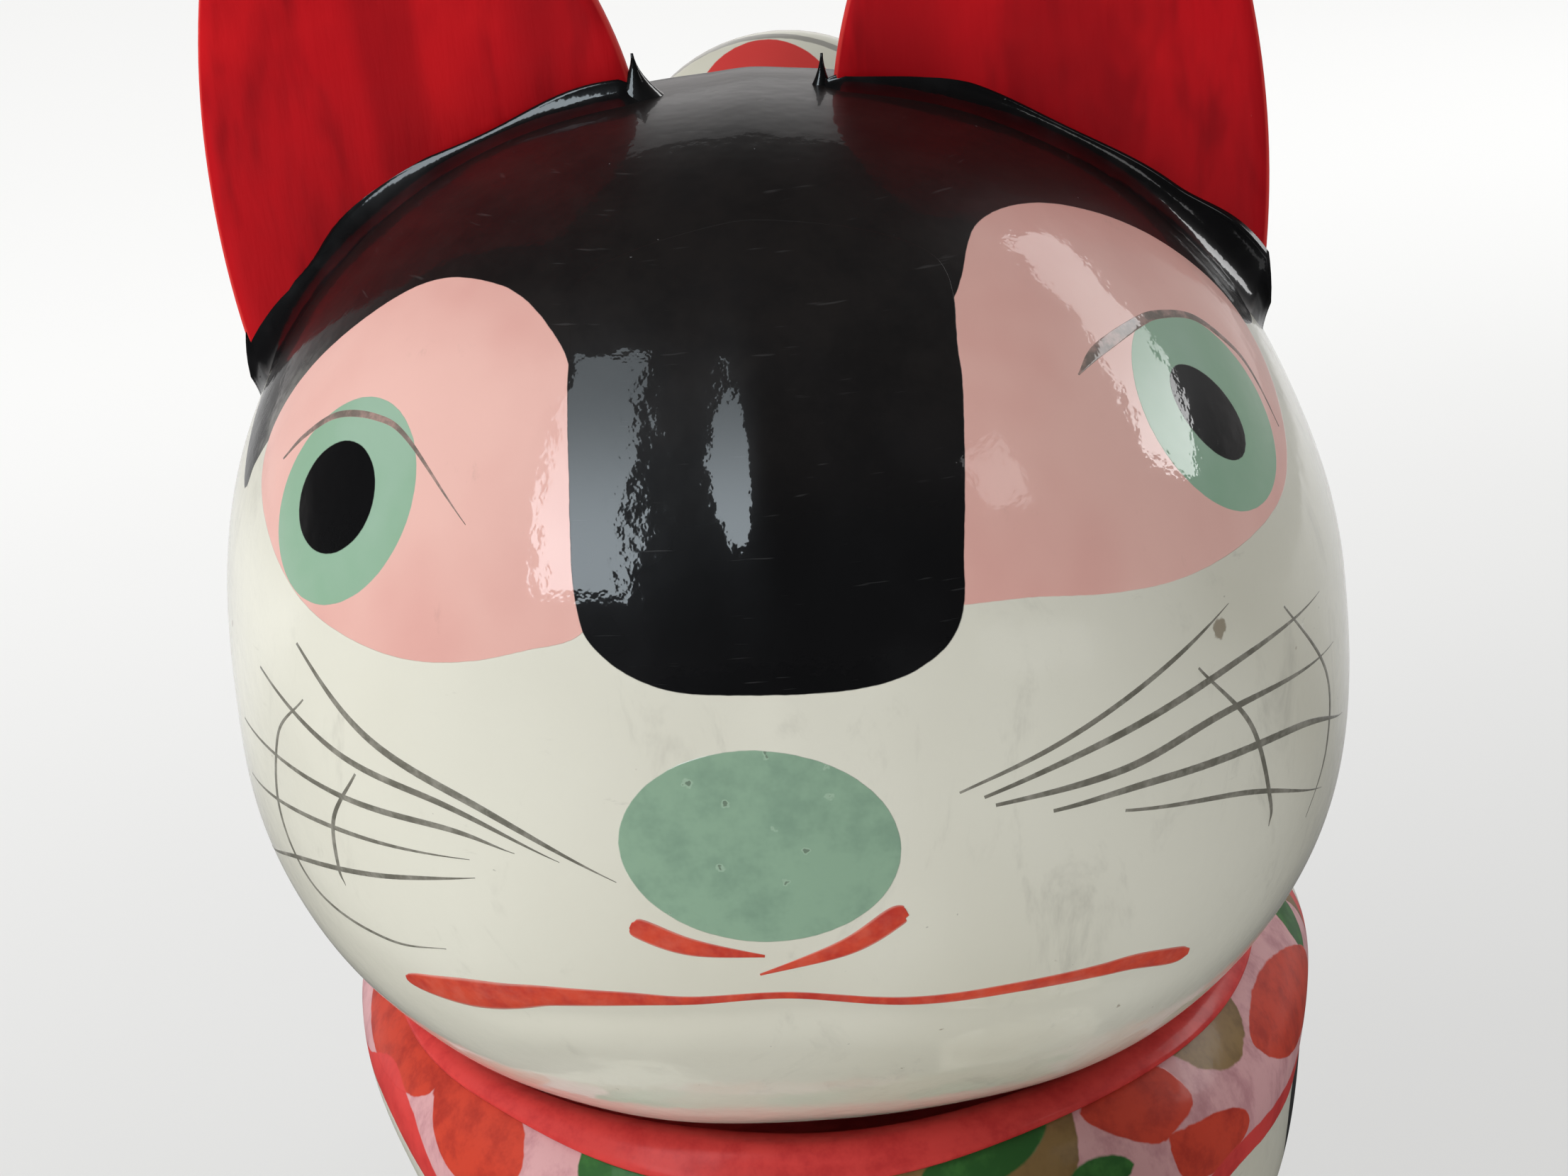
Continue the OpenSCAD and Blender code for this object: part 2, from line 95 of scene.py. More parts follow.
def oval(cu, cv, a, b, tilt):
    """An ellipse as an outline: centre, half axes and the tilt of the first axis in degrees."""
    k = np.radians(tilt)
    w = np.arange(48) * 2 * np.pi / 48
    x = a * np.cos(w)
    y = b * np.sin(w)
    return np.stack([cu + x * np.cos(k) - y * np.sin(k), cv + x * np.sin(k) + y * np.cos(k)], 1)


def shape(*points):
    return spline(points, 8, closed=True)


def signed(points, outline):
    """Distance of each 2-D point to a closed outline, negative inside."""
    x, y = points[:, 0], points[:, 1]
    best = np.full(len(points), 1e9)
    inside = np.zeros(len(points), bool)
    for a, b in zip(outline, np.roll(outline, -1, 0)):
        d = b - a
        w = points - a
        h = np.clip(w @ d / (d @ d + 1e-12), 0, 1)
        best = np.minimum(best, ((w - h[:, None] * d) ** 2).sum(1))
        if a[1] != b[1]:
            hit = (a[1] > y) != (b[1] > y)
            inside ^= hit & (x < (b[0] - a[0]) * (y - a[1]) / (b[1] - a[1]) + a[0])
    return np.where(inside, -1, 1) * np.sqrt(best)


def near_signed(points, outlines, reach=3.0):
    """Signed distance to the nearest of several outlines, cut off at reach outside them."""
    best = np.full(len(points), reach)
    for outline in outlines:
        near = np.all((points > outline.min(0) - reach) & (points < outline.max(0) + reach), 1)
        best[near] = np.minimum(best[near], signed(points[near], outline))
    return best


class Waves:
    """Smooth seeded unevenness of a hand-made surface, as a sum of plane waves."""

    def __init__(self, lengths, height):
        self.k = unit(rng.normal(size=(len(lengths), 3))) * (2 * np.pi / np.array(lengths))[:, None]
        self.phase = rng.uniform(0, 2 * np.pi, len(lengths))
        self.height = height * np.array(lengths) / max(lengths)

    def __call__(self, p):
        return (np.sin(p @ self.k.T + self.phase) * self.height).sum(-1)


# ---- meshes
def shown(name, data):
    """A new object in the scene."""
    made = bpy.data.objects.new(name, data)
    bpy.context.collection.objects.link(made)
    return made


def add_piece(name, skin, body, materials, replaces=(), fields=None, face_slots=None):
    """A named smooth mesh piece that rides on a CAD body. A skin is points in millimetres and faces.
    A field that is shorter than the points leaves the rest far outside."""
    points, faces = skin
    mesh = bpy.data.meshes.new(name)
    mesh.from_pydata((np.asarray(points) * MM).tolist(), [], [list(map(int, f)) for f in faces])
    mesh.validate()
    for key, values in (fields or {}).items():
        full = np.full(len(points), FAR, np.float32)
        full[:len(values)] = values
        mesh.attributes.new(key, "FLOAT", "POINT").data.foreach_set("value", full)
    mesh.polygons.foreach_set("use_smooth", [True] * len(mesh.polygons))
    for m in materials:
        mesh.materials.append(m)
    if face_slots is not None:
        mesh.polygons.foreach_set("material_index", list(face_slots))
    piece = shown(name, mesh)
    mesh.update()
    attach(piece, body)
    if replaces:
        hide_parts(*replaces)


def grid_faces(rows, cols, wrap_rows=False, start=0, flip=False):
    """Quads of a grid of points stored row by row, each row closed on itself."""
    out = []
    for i in range(rows if wrap_rows else rows - 1):
        here = start + i * cols
        after = start + (i + 1) % rows * cols
        for j in range(cols):
            k = (j + 1) % cols
            a, b, c, d = here + j, here + k, after + k, after + j
            out.append((a, d, c, b) if flip else (a, b, c, d))
    return out


def shell_mesh(outer, outer_tip, inner, inner_tip, flip=False):
    """A cup of two skins of rows by columns, joined at the first row and closed at the tips."""
    n, m = outer.shape[:2]
    k = inner.shape[0]
    points = np.vstack([outer.reshape(-1, 3), outer_tip[None], inner.reshape(-1, 3), inner_tip[None]])
    tip = n * m
    base = tip + 1
    last = base + (k - 1) * m
    turns = [(j, (j + 1) % m) for j in range(m)]
    faces = grid_faces(n, m)
    faces += [(tip - m + j, tip - m + after, tip) for j, after in turns]
    faces += grid_faces(k, m, start=base, flip=True)
    faces += [(last + after, last + j, base + k * m) for j, after in turns]
    faces += [(j, base + j, base + after, after) for j, after in turns]
    return points, [f[::-1] for f in faces] if flip else faces


def outward(points, faces):
    """Faces turned so that the closed skin's volume is positive."""
    volume = 0.0
    for f in faces:
        for k in range(1, len(f) - 1):
            volume += np.dot(points[f[0]], np.cross(points[f[k]], points[f[k + 1]]))
    return faces if volume > 0 else [f[::-1] for f in faces]


def tube_mesh(rings, closed=False):
    """A skin over equal rings of points, capped at both ends or closed on itself."""
    n, m = len(rings), len(rings[0])
    faces = grid_faces(n, m, wrap_rows=closed)
    points = np.asarray(rings).reshape(-1, 3)
    if not closed:
        faces.append(tuple(range(m))[::-1])
        faces.append(tuple((n - 1) * m + j for j in range(m)))
    return points, outward(points, faces)


def level_ring(x, y, z):
    """Places of a ring, all at one height."""
    return np.column_stack([x, y, np.full(len(x), z)])


def around_steps(front, back, span):
    """Angles once around, closer together within span degrees of the front."""
    a = np.linspace(-span, span, front, endpoint=False)
    b = np.linspace(span, 360 - span, back, endpoint=False)
    return np.radians(np.concatenate([a, b]))


# ---- head surface
# A rounded box with half lengths to the sides, the front, the back, up and down. Its sides are rounder
# the nearer SQUARE is to 1. It narrows upwards by TAPER and leans to the cat's right by LEAN.
HEAD = np.array([0.0, -25.0, 82.0])
HEAD_HALF = 42.0
HEAD_FRONT, HEAD_BACK = 39.0, 38.0
HEAD_UP, HEAD_DOWN = 40.0, 37.5
SQUARE = 0.88
TAPER = 0.045
LEAN = 0.03
HEAD_WALL = 1.8
HOLE_LAT = 76
# A faint ridge runs down the forehead, higher at the brow
KEEL, KEEL_X, KEEL_WIDE = 0.18, 1.2, 2.2
KEEL_LAT, KEEL_FADE = -12, 30
BROW, BROW_Z, BROW_WIDE = 0.38, 22.0, 4.2
# The mouth's middle on the face chart. A shallow groove and then a slight lip lie under it.
MOUTH_U = [-30, -18, -8, 0, 10, 20, 28]
MOUTH_V = [-16.0, -14.2, -13.8, -13.7, -15.2, -15.6, -17.5]
GROOVE_DEPTH, GROOVE_UNDER, GROOVE_WIDE = 0.20, 1.7, 1.0
LIP_RISE, LIP_UNDER, LIP_WIDE = 0.16, 4.6, 2.0
LIP_FROM, LIP_TO, LIP_FADE = -27, 29, 10
head_waves = Waves([19, 23, 31, 37, 13, 17, 9], 0.075)
# The face chart unrolls the head about the tip of the face: u to the cat's left, v up
CHART = 40.0


def face_dir(uv):
    turn = np.hypot(uv[..., 0], uv[..., 1]) / CHART
    spin = np.arctan2(uv[..., 1], uv[..., 0])
    return np.stack([np.sin(turn) * np.cos(spin), -np.cos(turn), np.sin(turn) * np.sin(spin)], -1)


def face_chart(d):
    turn = np.arccos(np.clip(-d[..., 1], -1, 1))
    spin = np.arctan2(d[..., 2], d[..., 0])
    return np.stack([CHART * turn * np.cos(spin), CHART * turn * np.sin(spin)], -1)


def head_relief(d, q, high):
    """Height of the forehead's ridge and of the mouth's groove and lip."""
    z = q[..., 2]
    lat = np.degrees(np.arcsin(np.clip(np.abs(z / high) ** (1 / SQUARE), 0, 1))) * np.sign(z)
    ridge = (KEEL + BROW * bell(z - BROW_Z, BROW_WIDE)) * bell(q[..., 0] - KEEL_X, KEEL_WIDE)
    uv = face_chart(d)
    under = uv[..., 1] - np.interp(uv[..., 0], MOUTH_U, MOUTH_V)
    groove = GROOVE_DEPTH * bell(under + GROOVE_UNDER, GROOVE_WIDE)
    lip = LIP_RISE * bell(under + LIP_UNDER, LIP_WIDE) - groove
    lip = lip * smooth((uv[..., 0] - LIP_FROM) / LIP_FADE) * smooth((LIP_TO - uv[..., 0]) / LIP_FADE)
    return ridge * smooth((lat - KEEL_LAT) / KEEL_FADE) + lip


def head_skin(d, depth=0.0):
    """Points of the head, from its centre, in unit directions d."""
    p = 2 / SQUARE
    back = np.where(d[..., 1] < 0, HEAD_FRONT, HEAD_BACK) - depth
    high = np.where(d[..., 2] > 0, HEAD_UP, HEAD_DOWN) - depth
    reach = np.full(d.shape[:-1], HEAD_UP)
    for _ in range(8):
        half = (HEAD_HALF - depth) * (1 - TAPER * reach * d[..., 2] / HEAD_UP)
        reach = (np.abs(d[..., 0] / half) ** p + np.abs(d[..., 1] / back) ** p
                 + np.abs(d[..., 2] / high) ** p) ** (-1 / p)
    q = d * reach[..., None]
    if depth == 0:
        q = q * (1 + (head_relief(d, q, high) + head_waves(q)) / reach)[..., None]
    q[..., 0] -= LEAN * q[..., 2]
    return q


# ---- body surface
CORE = np.array([0.0, 5.0, 34.0])
CHEST_Y, RUMP_Y = -52.0, 63.0
BODY_HALF = 42.0
BELLY_Z, BELLY_RISE = 13.0, 3
SHOULDER_Z, BACK_Z = 57.0, 67.0
SECTION_POWER, PLAN_POWER = 2.8, 2.6
BODY_WALL = 2.2
# The waist is drawn in over a stretch of the body, and the back rises over another
WAIST, WAIST_Y, WAIST_LONG = 2.6, -14, 52
BACK_Y, BACK_LONG = 3, 26
# The left shoulder is fuller from a height up
SHOULDER_OUT, SHOULDER_LOW, SHOULDER_SOFT = 0.9, 36, 8
# The chest is drawn in below the shoulders, more on the cat's right, and fades out behind and below
NARROW_RIGHT, NARROW_LEFT = 4.5, 1.0
NARROW_TOP, NARROW_BACK, NARROW_SOFT = 47.0, 4, 16
NARROW_LOW, NARROW_LOW_SOFT = 12, 12
# The neck's axis, the opening's angle off it, and how far the skin drops beside the neck
NECK_UP = math.radians(58)
RIM_FRONT, RIM_SIDE = 43.4, 54.9
RIM_DROP = 0.45
# The angle over which the skin beside the neck and the thin wall at the rim run out
RIM_RUN = 0.2
body_waves = Waves([23, 31, 41, 17, 13], 0.09)


def body_level(q):
    """Below 0 inside the body and above 0 outside it."""
    x, y, z = q[..., 0], q[..., 1], q[..., 2]
    half = BODY_HALF - WAIST * arch((y - WAIST_Y) / WAIST_LONG)
    half = half + np.where(x > 0, SHOULDER_OUT, 0) * smooth((z - SHOULDER_LOW) / SHOULDER_SOFT)
    narrow = np.where(x < 0, NARROW_RIGHT, NARROW_LEFT) * smooth((NARROW_TOP - z) / NARROW_SOFT)
    narrow = narrow * smooth((NARROW_BACK - y) / NARROW_SOFT) * smooth((z - NARROW_LOW) / NARROW_LOW_SOFT)
    half = half - narrow
    top = SHOULDER_Z + (BACK_Z - SHOULDER_Z) * smooth((y - BACK_Y) / BACK_LONG)
    low = BELLY_Z + BELLY_RISE * arch((y - CHEST_Y) / (RUMP_Y - CHEST_Y))
    r = np.abs(x / half) ** SECTION_POWER
    r = r + np.abs((z - (top + low) / 2) / ((top - low) / 2)) ** SECTION_POWER
    e = np.abs((y - (CHEST_Y + RUMP_Y) / 2) / ((RUMP_Y - CHEST_Y) / 2))
    return r ** (PLAN_POWER / SECTION_POWER) + e ** PLAN_POWER - 1


def body_reach(d):
    ends = np.full(d.shape[:-1], 5.0), np.full(d.shape[:-1], 80.0)
    return crossing(lambda r: body_level(CORE + d * r[..., None]), *ends)


def skin_height(x, y, outside):
    """Height of the body surface over or under places of the plan, from a height that is outside it."""
    ends = np.full(np.shape(x), 38.0), np.full(np.shape(x), float(outside))
    return crossing(lambda z: body_level(np.stack([x, y, z], -1)), *ends)


def body_dir(off, around):
    """Direction at an angle off the neck axis and around it from the front, both in radians."""
    n = np.array([0, -math.cos(NECK_UP), math.sin(NECK_UP)])
    f = np.array([0, -math.sin(NECK_UP), -math.cos(NECK_UP)])
    x = np.array([1.0, 0, 0])
    off = np.asarray(off)[..., None]
    around = np.asarray(around)[..., None]
    return n * np.cos(off) + (f * np.cos(around) + x * np.sin(around)) * np.sin(off)


def rim(around):
    return np.radians(RIM_FRONT + (RIM_SIDE - RIM_FRONT) * np.abs(np.sin(around)) ** 3)


def body_place(off, around, lift):
    """Places of the body's surface, raised by what lift() makes of them. Beside the neck they lie a
    little lower, so that the head clears them as it sways."""
    d = body_dir(off, around)
    q = CORE + d * body_reach(d)[..., None]
    drop = RIM_DROP * np.abs(np.sin(around)) ** 3 * smooth(1 - (off - rim(around)) / RIM_RUN)
    return q + d * (lift(q) - drop)[..., None]


# The bib chart unrolls the chest about an upright line: u to the cat's left, v is the height
BIB_Y = -14.0


def bib_chart(q):
    return np.stack([CHART * np.arctan2(q[..., 0], BIB_Y - q[..., 1]), q[..., 2]], -1)


# ---- material nodes
class Nodes:
    """The emptied node tree of a material or a world."""

    def __init__(self, owner):
        owner.use_nodes = True
        self.tree = owner.node_tree
        self.tree.nodes.clear()

    def feed(self, socket, value):
        """Links a node's first output or a socket, or sets a value."""
        if isinstance(value, bpy.types.Node):
            value = value.outputs[0]
        if isinstance(value, bpy.types.NodeSocket):
            self.tree.links.new(value, socket)
        elif socket.type == "RGBA":
            socket.default_value = (*value, 1)
        else:
            socket.default_value = value

    def add(self, kind, inputs=None, **props):
        node = self.tree.nodes.new("ShaderNode" + kind)
        for key, value in props.items():
            setattr(node, key, value)
        for key, value in (inputs or {}).items():
            self.feed(node.inputs[key], value)
        return node


class Paint(Nodes):
    """A material and short ways to paint it."""

    def __init__(self, name):
        self.material = bpy.data.materials.new(name)
        super().__init__(self.material)
        self.out = self.add("OutputMaterial")
        coordinates = self.add("TexCoord").outputs["Object"]
        self.where = self.add("VectorMath", {0: coordinates, "Scale": 1 / MM}, operation="SCALE")
        self.wobbled = None
        self.ripple = None

    def axis(self, name):
        return self.add("SeparateXYZ", {0: self.where}).outputs[name]

    def math(self, operation, a, b=0.0):
        return self.add("Math", {0: a, 1: b}, operation=operation).outputs[0]

    def mix(self, a, b, share):
        return self.add("Mix", {0: share, 6: a, 7: b}, data_type="RGBA").outputs[2]

    def ramp(self, value, low, high, a=0.0, b=1.0):
        levels = dict(enumerate((value, low, high, a, b)))
        return self.add("MapRange", levels, interpolation_type="SMOOTHSTEP").outputs[0]

    def noise(self, size, detail=3.0, rough=0.55, stretch=(1, 1, 1), shift=(0, 0, 0), warp=0.0):
        """Noise whose blobs are about that many millimetres across."""
        where = self.add("Mapping", {"Vector": self.where, "Scale": stretch, "Location": shift})
        return self.add("TexNoise", {"Vector": where, "Scale": 1 / size, "Detail": detail,
                                               "Roughness": rough, "Distortion": warp}).outputs[0]

    def blotch(self, a, b, low, high, *grain, **more):
        """Two tones in the blotches of a noise, the second where that is high."""
        return self.mix(a, b, self.ramp(self.noise(*grain, **more), low, high))

    def tint(self, base, tone, mask, share):
        """A tone over the base where the mask is, at that share."""
        return self.mix(base, tone, self.math("MULTIPLY", mask, share))

    def cells(self, spacing, shift=(0, 0, 0)):
        """Scattered points: distance to the nearest in millimetres, and two random numbers for it."""
        if self.wobbled is None:
            tex = self.add("TexNoise", {"Vector": self.where, "Scale": 2.4, "Detail": 1.0})
            sway = {0: tex.outputs["Color"], 1: (0.55, 0.55, 0.55), 2: self.where}
            self.wobbled = self.add("VectorMath", sway, operation="MULTIPLY_ADD")
        move = self.add("VectorMath", {0: self.wobbled, 1: shift}, operation="ADD")
        cell = self.add("TexVoronoi", {"Vector": move, "Scale": 1 / spacing}, feature="F1")
        near = self.math("MULTIPLY", cell.outputs["Distance"], spacing)
        split = self.add("SeparateColor", {0: cell.outputs["Color"]})
        return near, split.outputs[0], split.outputs[1]

    def spots(self, cells, radius, share):
        """1 inside a spot. Share is the part of the points that have one."""
        near, pick, size = cells
        edge = self.math("SUBTRACT", near, self.math("MULTIPLY", size, radius))
        spot = self.ramp(edge, -0.08 * radius, 0.25 * radius, 1.0, 0.0)
        return self.math("MULTIPLY", spot, self.math("LESS_THAN", pick, share))

    def specks(self, spacing, radius, share, shift=(0, 0, 0)):
        return self.spots(self.cells(spacing, shift), radius, share)

    def field(self, key):
        return self.add("Attribute", attribute_name=key).outputs["Fac"]

    def area(self, key, soft, wobble):
        """1 inside the painted area whose signed distance is stored under that name."""
        if self.ripple is None:
            self.ripple = self.math("SUBTRACT", self.noise(1.3, 2.0), 0.5)
        value = self.math("ADD", self.field(key), self.math("MULTIPLY", self.ripple, 2 * wobble))
        return self.ramp(value, -soft, soft, 1.0, 0.0)

    def bump(self, height):
        """A normal from a height in millimetres."""
        return self.add("Bump", {"Strength": 1, "Distance": MM, "Height": height})

    def total(self, *parts):
        """Sum of pairs of a value and its weight."""
        out = 0.0
        for value, weight in parts:
            out = self.math("ADD", self.math("MULTIPLY", value, weight), out)
        return out

    def surface(self, color, rough, coat=0.0, coat_rough=0.05, normal=None, coat_normal=None, metal=0.0,
                specular=0.5):
        levels = {"Base Color": color, "Roughness": rough, "Metallic": metal,
                  "Specular IOR Level": specular, "Coat Weight": coat, "Coat Roughness": coat_rough}
        if normal is not None:
            levels["Normal"] = normal
        if coat_normal is not None:
            levels["Coat Normal"] = coat_normal
        return self.add("BsdfPrincipled", levels)

    def finish(self, shader):
        self.feed(self.out.inputs["Surface"], shader)
        return self.material

    def lacquer(self, color, rough, coat, coat_rough, relief=None):
        """Finishes as paint under a clear coat. Relief is the painted layers' height, 0 to 1. The coat
        carries the gloss, so the paint under it mirrors very little itself."""
        base = self.math("MULTIPLY", self.noise(3.5, 2.0, 0.6), 0.07)
        if relief is not None:
            base = self.total((relief, 0.05), (base, 1.0))
        top = self.total((self.noise(0.9, 2.0, 0.5), 0.009), (self.noise(0.4, 1.0), 0.008),
                         (self.specks(9, 0.35, 0.6, (3, 1, 7)), -0.045), (base, 1.0))
        return self.finish(self.surface(color, rough, coat, coat_rough, self.bump(base), self.bump(top),
                                        specular=UNDER_COAT))


UNDER_COAT = 0.08
# Linear colours of the paints
WHITE_PAINT, YELLOWED = (0.69, 0.68, 0.59), (0.60, 0.585, 0.49)
SMUDGE = (0.30, 0.29, 0.25)
CHIP = (0.16, 0.11, 0.055)
GRIME = (0.2, 0.19, 0.16)
BLACK_PAINT, BLACK_PALE = (0.0035, 0.0035, 0.004), (0.008, 0.008, 0.009)
BLACK_DUSTY, LINT, SCRATCH = (0.014, 0.012, 0.0115), (0.20, 0.21, 0.22), (0.10, 0.10, 0.10)
BLACK_THIN = (0.16, 0.16, 0.145)
PINK, PINK_DEEP = (0.77, 0.465, 0.41), (0.70, 0.38, 0.335)
PINK_RUBBED, PINK_SPOT = (0.40, 0.24, 0.20), (0.25, 0.12, 0.09)
GREEN, GREEN_PALE = (0.25, 0.41, 0.285), (0.29, 0.44, 0.33)
NOSE_GREEN, NOSE_DEEP = (0.25, 0.385, 0.275), (0.195, 0.31, 0.225)
NOSE_RING, NOSE_PIT = (0.36, 0.50, 0.38), (0.09, 0.13, 0.09)
RED, RED_DEEP = (0.60, 0.05, 0.045), (0.46, 0.028, 0.028)
EAR_RED, EAR_DARK, EAR_BRIGHT = (0.50, 0.006, 0.011), (0.30, 0.004, 0.008), (0.60, 0.009, 0.013)
EAR_DUST, EAR_EDGE_HIGHLIGHT = (0.42, 0.12, 0.11), (0.62, 0.045, 0.04)
BIB_GOLD, GOLD_DEEP = (0.235, 0.145, 0.055), (0.15, 0.09, 0.035)
BIB_PINK, PETAL_DEEP = (0.60, 0.33, 0.34), (0.44, 0.21, 0.23)
BIB_RED, BLOOM_DEEP = (0.52, 0.05, 0.025), (0.36, 0.03, 0.018)
LEAF, LEAF_PALE = (0.026, 0.105, 0.024), (0.045, 0.16, 0.035)
WHISKER, WHISKER_PALE = (0.13, 0.125, 0.10), (0.19, 0.18, 0.15)
LID, LID_PALE = (0.15, 0.125, 0.105), (0.22, 0.17, 0.15)
MOUTH_RED, MOUTH_DEEP = (0.60, 0.07, 0.035), (0.46, 0.038, 0.025)
# The lacquer between the ears is dull with dust above this height, fully so at the second
DULL_LOW, DULL_HIGH = 98, 113


def aged_white(p):
    """Cream ground with yellowing, grey rubbed smudges and small brown chips."""
    color = p.blotch(WHITE_PAINT, YELLOWED, 0.4, 0.7, 38, 2.0)
    rubbed = p.noise(6, 5.0, 0.7, (1, 1, 0.45), (5, 2, 9), 0.6)
    color = p.tint(color, SMUDGE, p.ramp(rubbed, 0.55, 0.82), 0.44)
    scuffs = p.noise(1.3, 4.0, 0.75, (0.35, 0.35, 1.5), (1, 8, 4))
    patch = p.ramp(p.noise(4.5, 1.0, 0.5, shift=(31, 4, 2)), 0.66, 0.72)
    color = p.tint(color, SMUDGE, p.math("MULTIPLY", p.ramp(scuffs, 0.58, 0.7), patch), 0.24)
    color = p.tint(color, CHIP, p.specks(9.5, 0.62, 0.5, (2, 6, 1)), 0.7)
    color = p.tint(color, CHIP, p.specks(3.8, 0.25, 0.45, (6, 1, 4)), 0.55)
    return p.tint(color, GRIME, p.specks(1.9, 0.10, 0.35, (8, 3, 5)), 0.45)


def head_material():
    p = Paint("head_lacquer")
    black = p.blotch(BLACK_PAINT, BLACK_PALE, 0.45, 0.75, 14, 3.0)
    dull = p.ramp(p.axis("Z"), DULL_LOW, DULL_HIGH)
    dusty = p.ramp(p.noise(5, 4.0, 0.7, shift=(2, 2, 6)), 0.3, 0.7, 0.5, 1.0)
    black = p.tint(black, BLACK_DUSTY, dull, dusty)
    black = p.tint(black, LINT, p.specks(2.2, 0.08, 0.5, (1, 2, 3)), 0.7)
    scratch = p.ramp(p.noise(0.5, 2.0, 0.6, (0.1, 0.1, 1.6), (3, 7, 9)), 0.68, 0.76)
    black = p.tint(black, SCRATCH, scratch, 0.22)
    # By the cat's right eye the crown's black thins out in dry grey brush strokes
    fade = p.ramp(p.noise(0.7, 3.0, 0.7, (1, 1, 0.12)), 0.3, 0.7, -0.9, 0.9)
    thin = p.ramp(p.math("ADD", p.field("pink"), fade), 0.0, 2.6, 0.72, 0.0)
    black = p.tint(black, BLACK_THIN, thin, p.field("feather"))

    pink_tone = p.blotch(PINK, PINK_DEEP, 0.4, 0.72, 17, 3.0, 0.6, (1, 1, 0.6))
    rub = p.ramp(p.noise(3.2, 5.0, 0.75, (1, 1, 0.35), (9, 9, 1)), 0.62, 0.85)
    pink_tone = p.tint(pink_tone, PINK_RUBBED, rub, 0.42)
    pink_tone = p.tint(pink_tone, PINK_SPOT, p.specks(6, 0.22, 0.5, (5, 5, 5)), 0.55)
    nose_tone = p.blotch(NOSE_GREEN, NOSE_DEEP, 0.40, 0.75, 4.5, 4.0, 0.7)
    pores = p.cells(1.8, (4, 4, 8))
    nose_tone = p.tint(nose_tone, NOSE_RING, p.spots(pores, 0.32, 0.55), 0.65)
    nose_tone = p.tint(nose_tone, NOSE_PIT, p.spots(pores, 0.20, 0.55), 0.75)
    iris_tone = p.blotch(GREEN, GREEN_PALE, 0.4, 0.7, 9, 3.0)

    # The coats of paint from the lowest up, each with its tone, soft edge, wobble and height
    color, relief = aged_white(p), None
    for key, tone, soft, wobble, height in (
            ("crown", black, 0.06, 0.07, 0.7), ("pink", pink_tone, 0.04, 0.05, 0.7),
            ("blade", black, 0.04, 0.05, 0.8), ("nose", nose_tone, 0.045, 0.05, 0.7),
            ("iris", iris_tone, 0.04, 0.04, 0.9), ("pupil", BLACK_PAINT, 0.04, 0.03, 1.0)):
        area = p.area(key, soft, wobble)
        color = p.mix(color, tone, area)
        layer = p.math("MULTIPLY", area, height)
        relief = layer if relief is None else p.math("MAXIMUM", relief, layer)
    return p.lacquer(color, 0.42, p.ramp(dull, 0, 1, 0.85, 0.26), 0.05, relief)


def stroke_material(name, paint, deep, ground, cover):
    """A brush stroke: the ground shows through a little at its edges and where the brush ran dry."""
    p = Paint(name)
    tone = p.blotch(paint, deep, 0.35, 0.7, 2.4, 3.0, 0.7)
    body = p.ramp(p.math("ABSOLUTE", p.field("across")), 0.7, 1.0, 1.0, 0.6)
    dry = p.ramp(p.noise(1.4, 3.0, 0.7), 0.3, 0.6, cover, 1.0)
    return p.lacquer(p.tint(ground, tone, body, dry), 0.4, 0.5, 0.05)


def body_material():
    p = Paint("body_lacquer")
    black = p.blotch(BLACK_PAINT, BLACK_PALE, 0.45, 0.75, 14, 3.0)
    color = p.mix(aged_white(p), black, p.area("patch", 0.05, 0.12))
    red = p.blotch(RED, RED_DEEP, 0.4, 0.75, 5, 4.0, 0.7)
    color = p.mix(color, red, p.area("saddle", 0.05, 0.12))
    gold = p.blotch(BIB_GOLD, GOLD_DEEP, 0.4, 0.7, 4, 4.0, 0.7, (1, 1, 0.4))
    petal = p.blotch(BIB_PINK, PETAL_DEEP, 0.4, 0.72, 2.5, 4.0, 0.7, (1, 1, 0.5))
    leaf = p.blotch(LEAF, LEAF_PALE, 0.45, 0.7, 2, 3.0)
    bloom = p.blotch(BIB_RED, BLOOM_DEEP, 0.4, 0.7, 3, 4.0, 0.7)
    bib = p.area("bib", 0.06, 0.10)
    color = p.mix(color, gold, bib)
    parts = {}
    for key, tone, soft, wobble in (("petal", petal, 0.10, 0.25), ("leaf", leaf, 0.10, 0.15),
                                    ("bloom", bloom, 0.08, 0.15), ("border", red, 0.08, 0.15)):
        parts[key] = p.math("MULTIPLY", p.area(key, soft, wobble), bib)
        color = p.mix(color, tone, parts[key])
    relief = p.total((bib, 0.4), (parts["leaf"], 0.3), (parts["bloom"], 0.3))
    return p.lacquer(color, 0.42, p.ramp(bib, 0, 1, 0.5, 0.1), 0.12, relief)


def limb_material(name, **paints):
    """White lacquer with painted parts, each stored as a field."""
    p = Paint(name)
    color = aged_white(p)
    for key, tone in paints.items():
        color = p.mix(color, tone, p.area(key, 0.06, 0.06))
    return p.lacquer(color, 0.42, 0.75, 0.06)


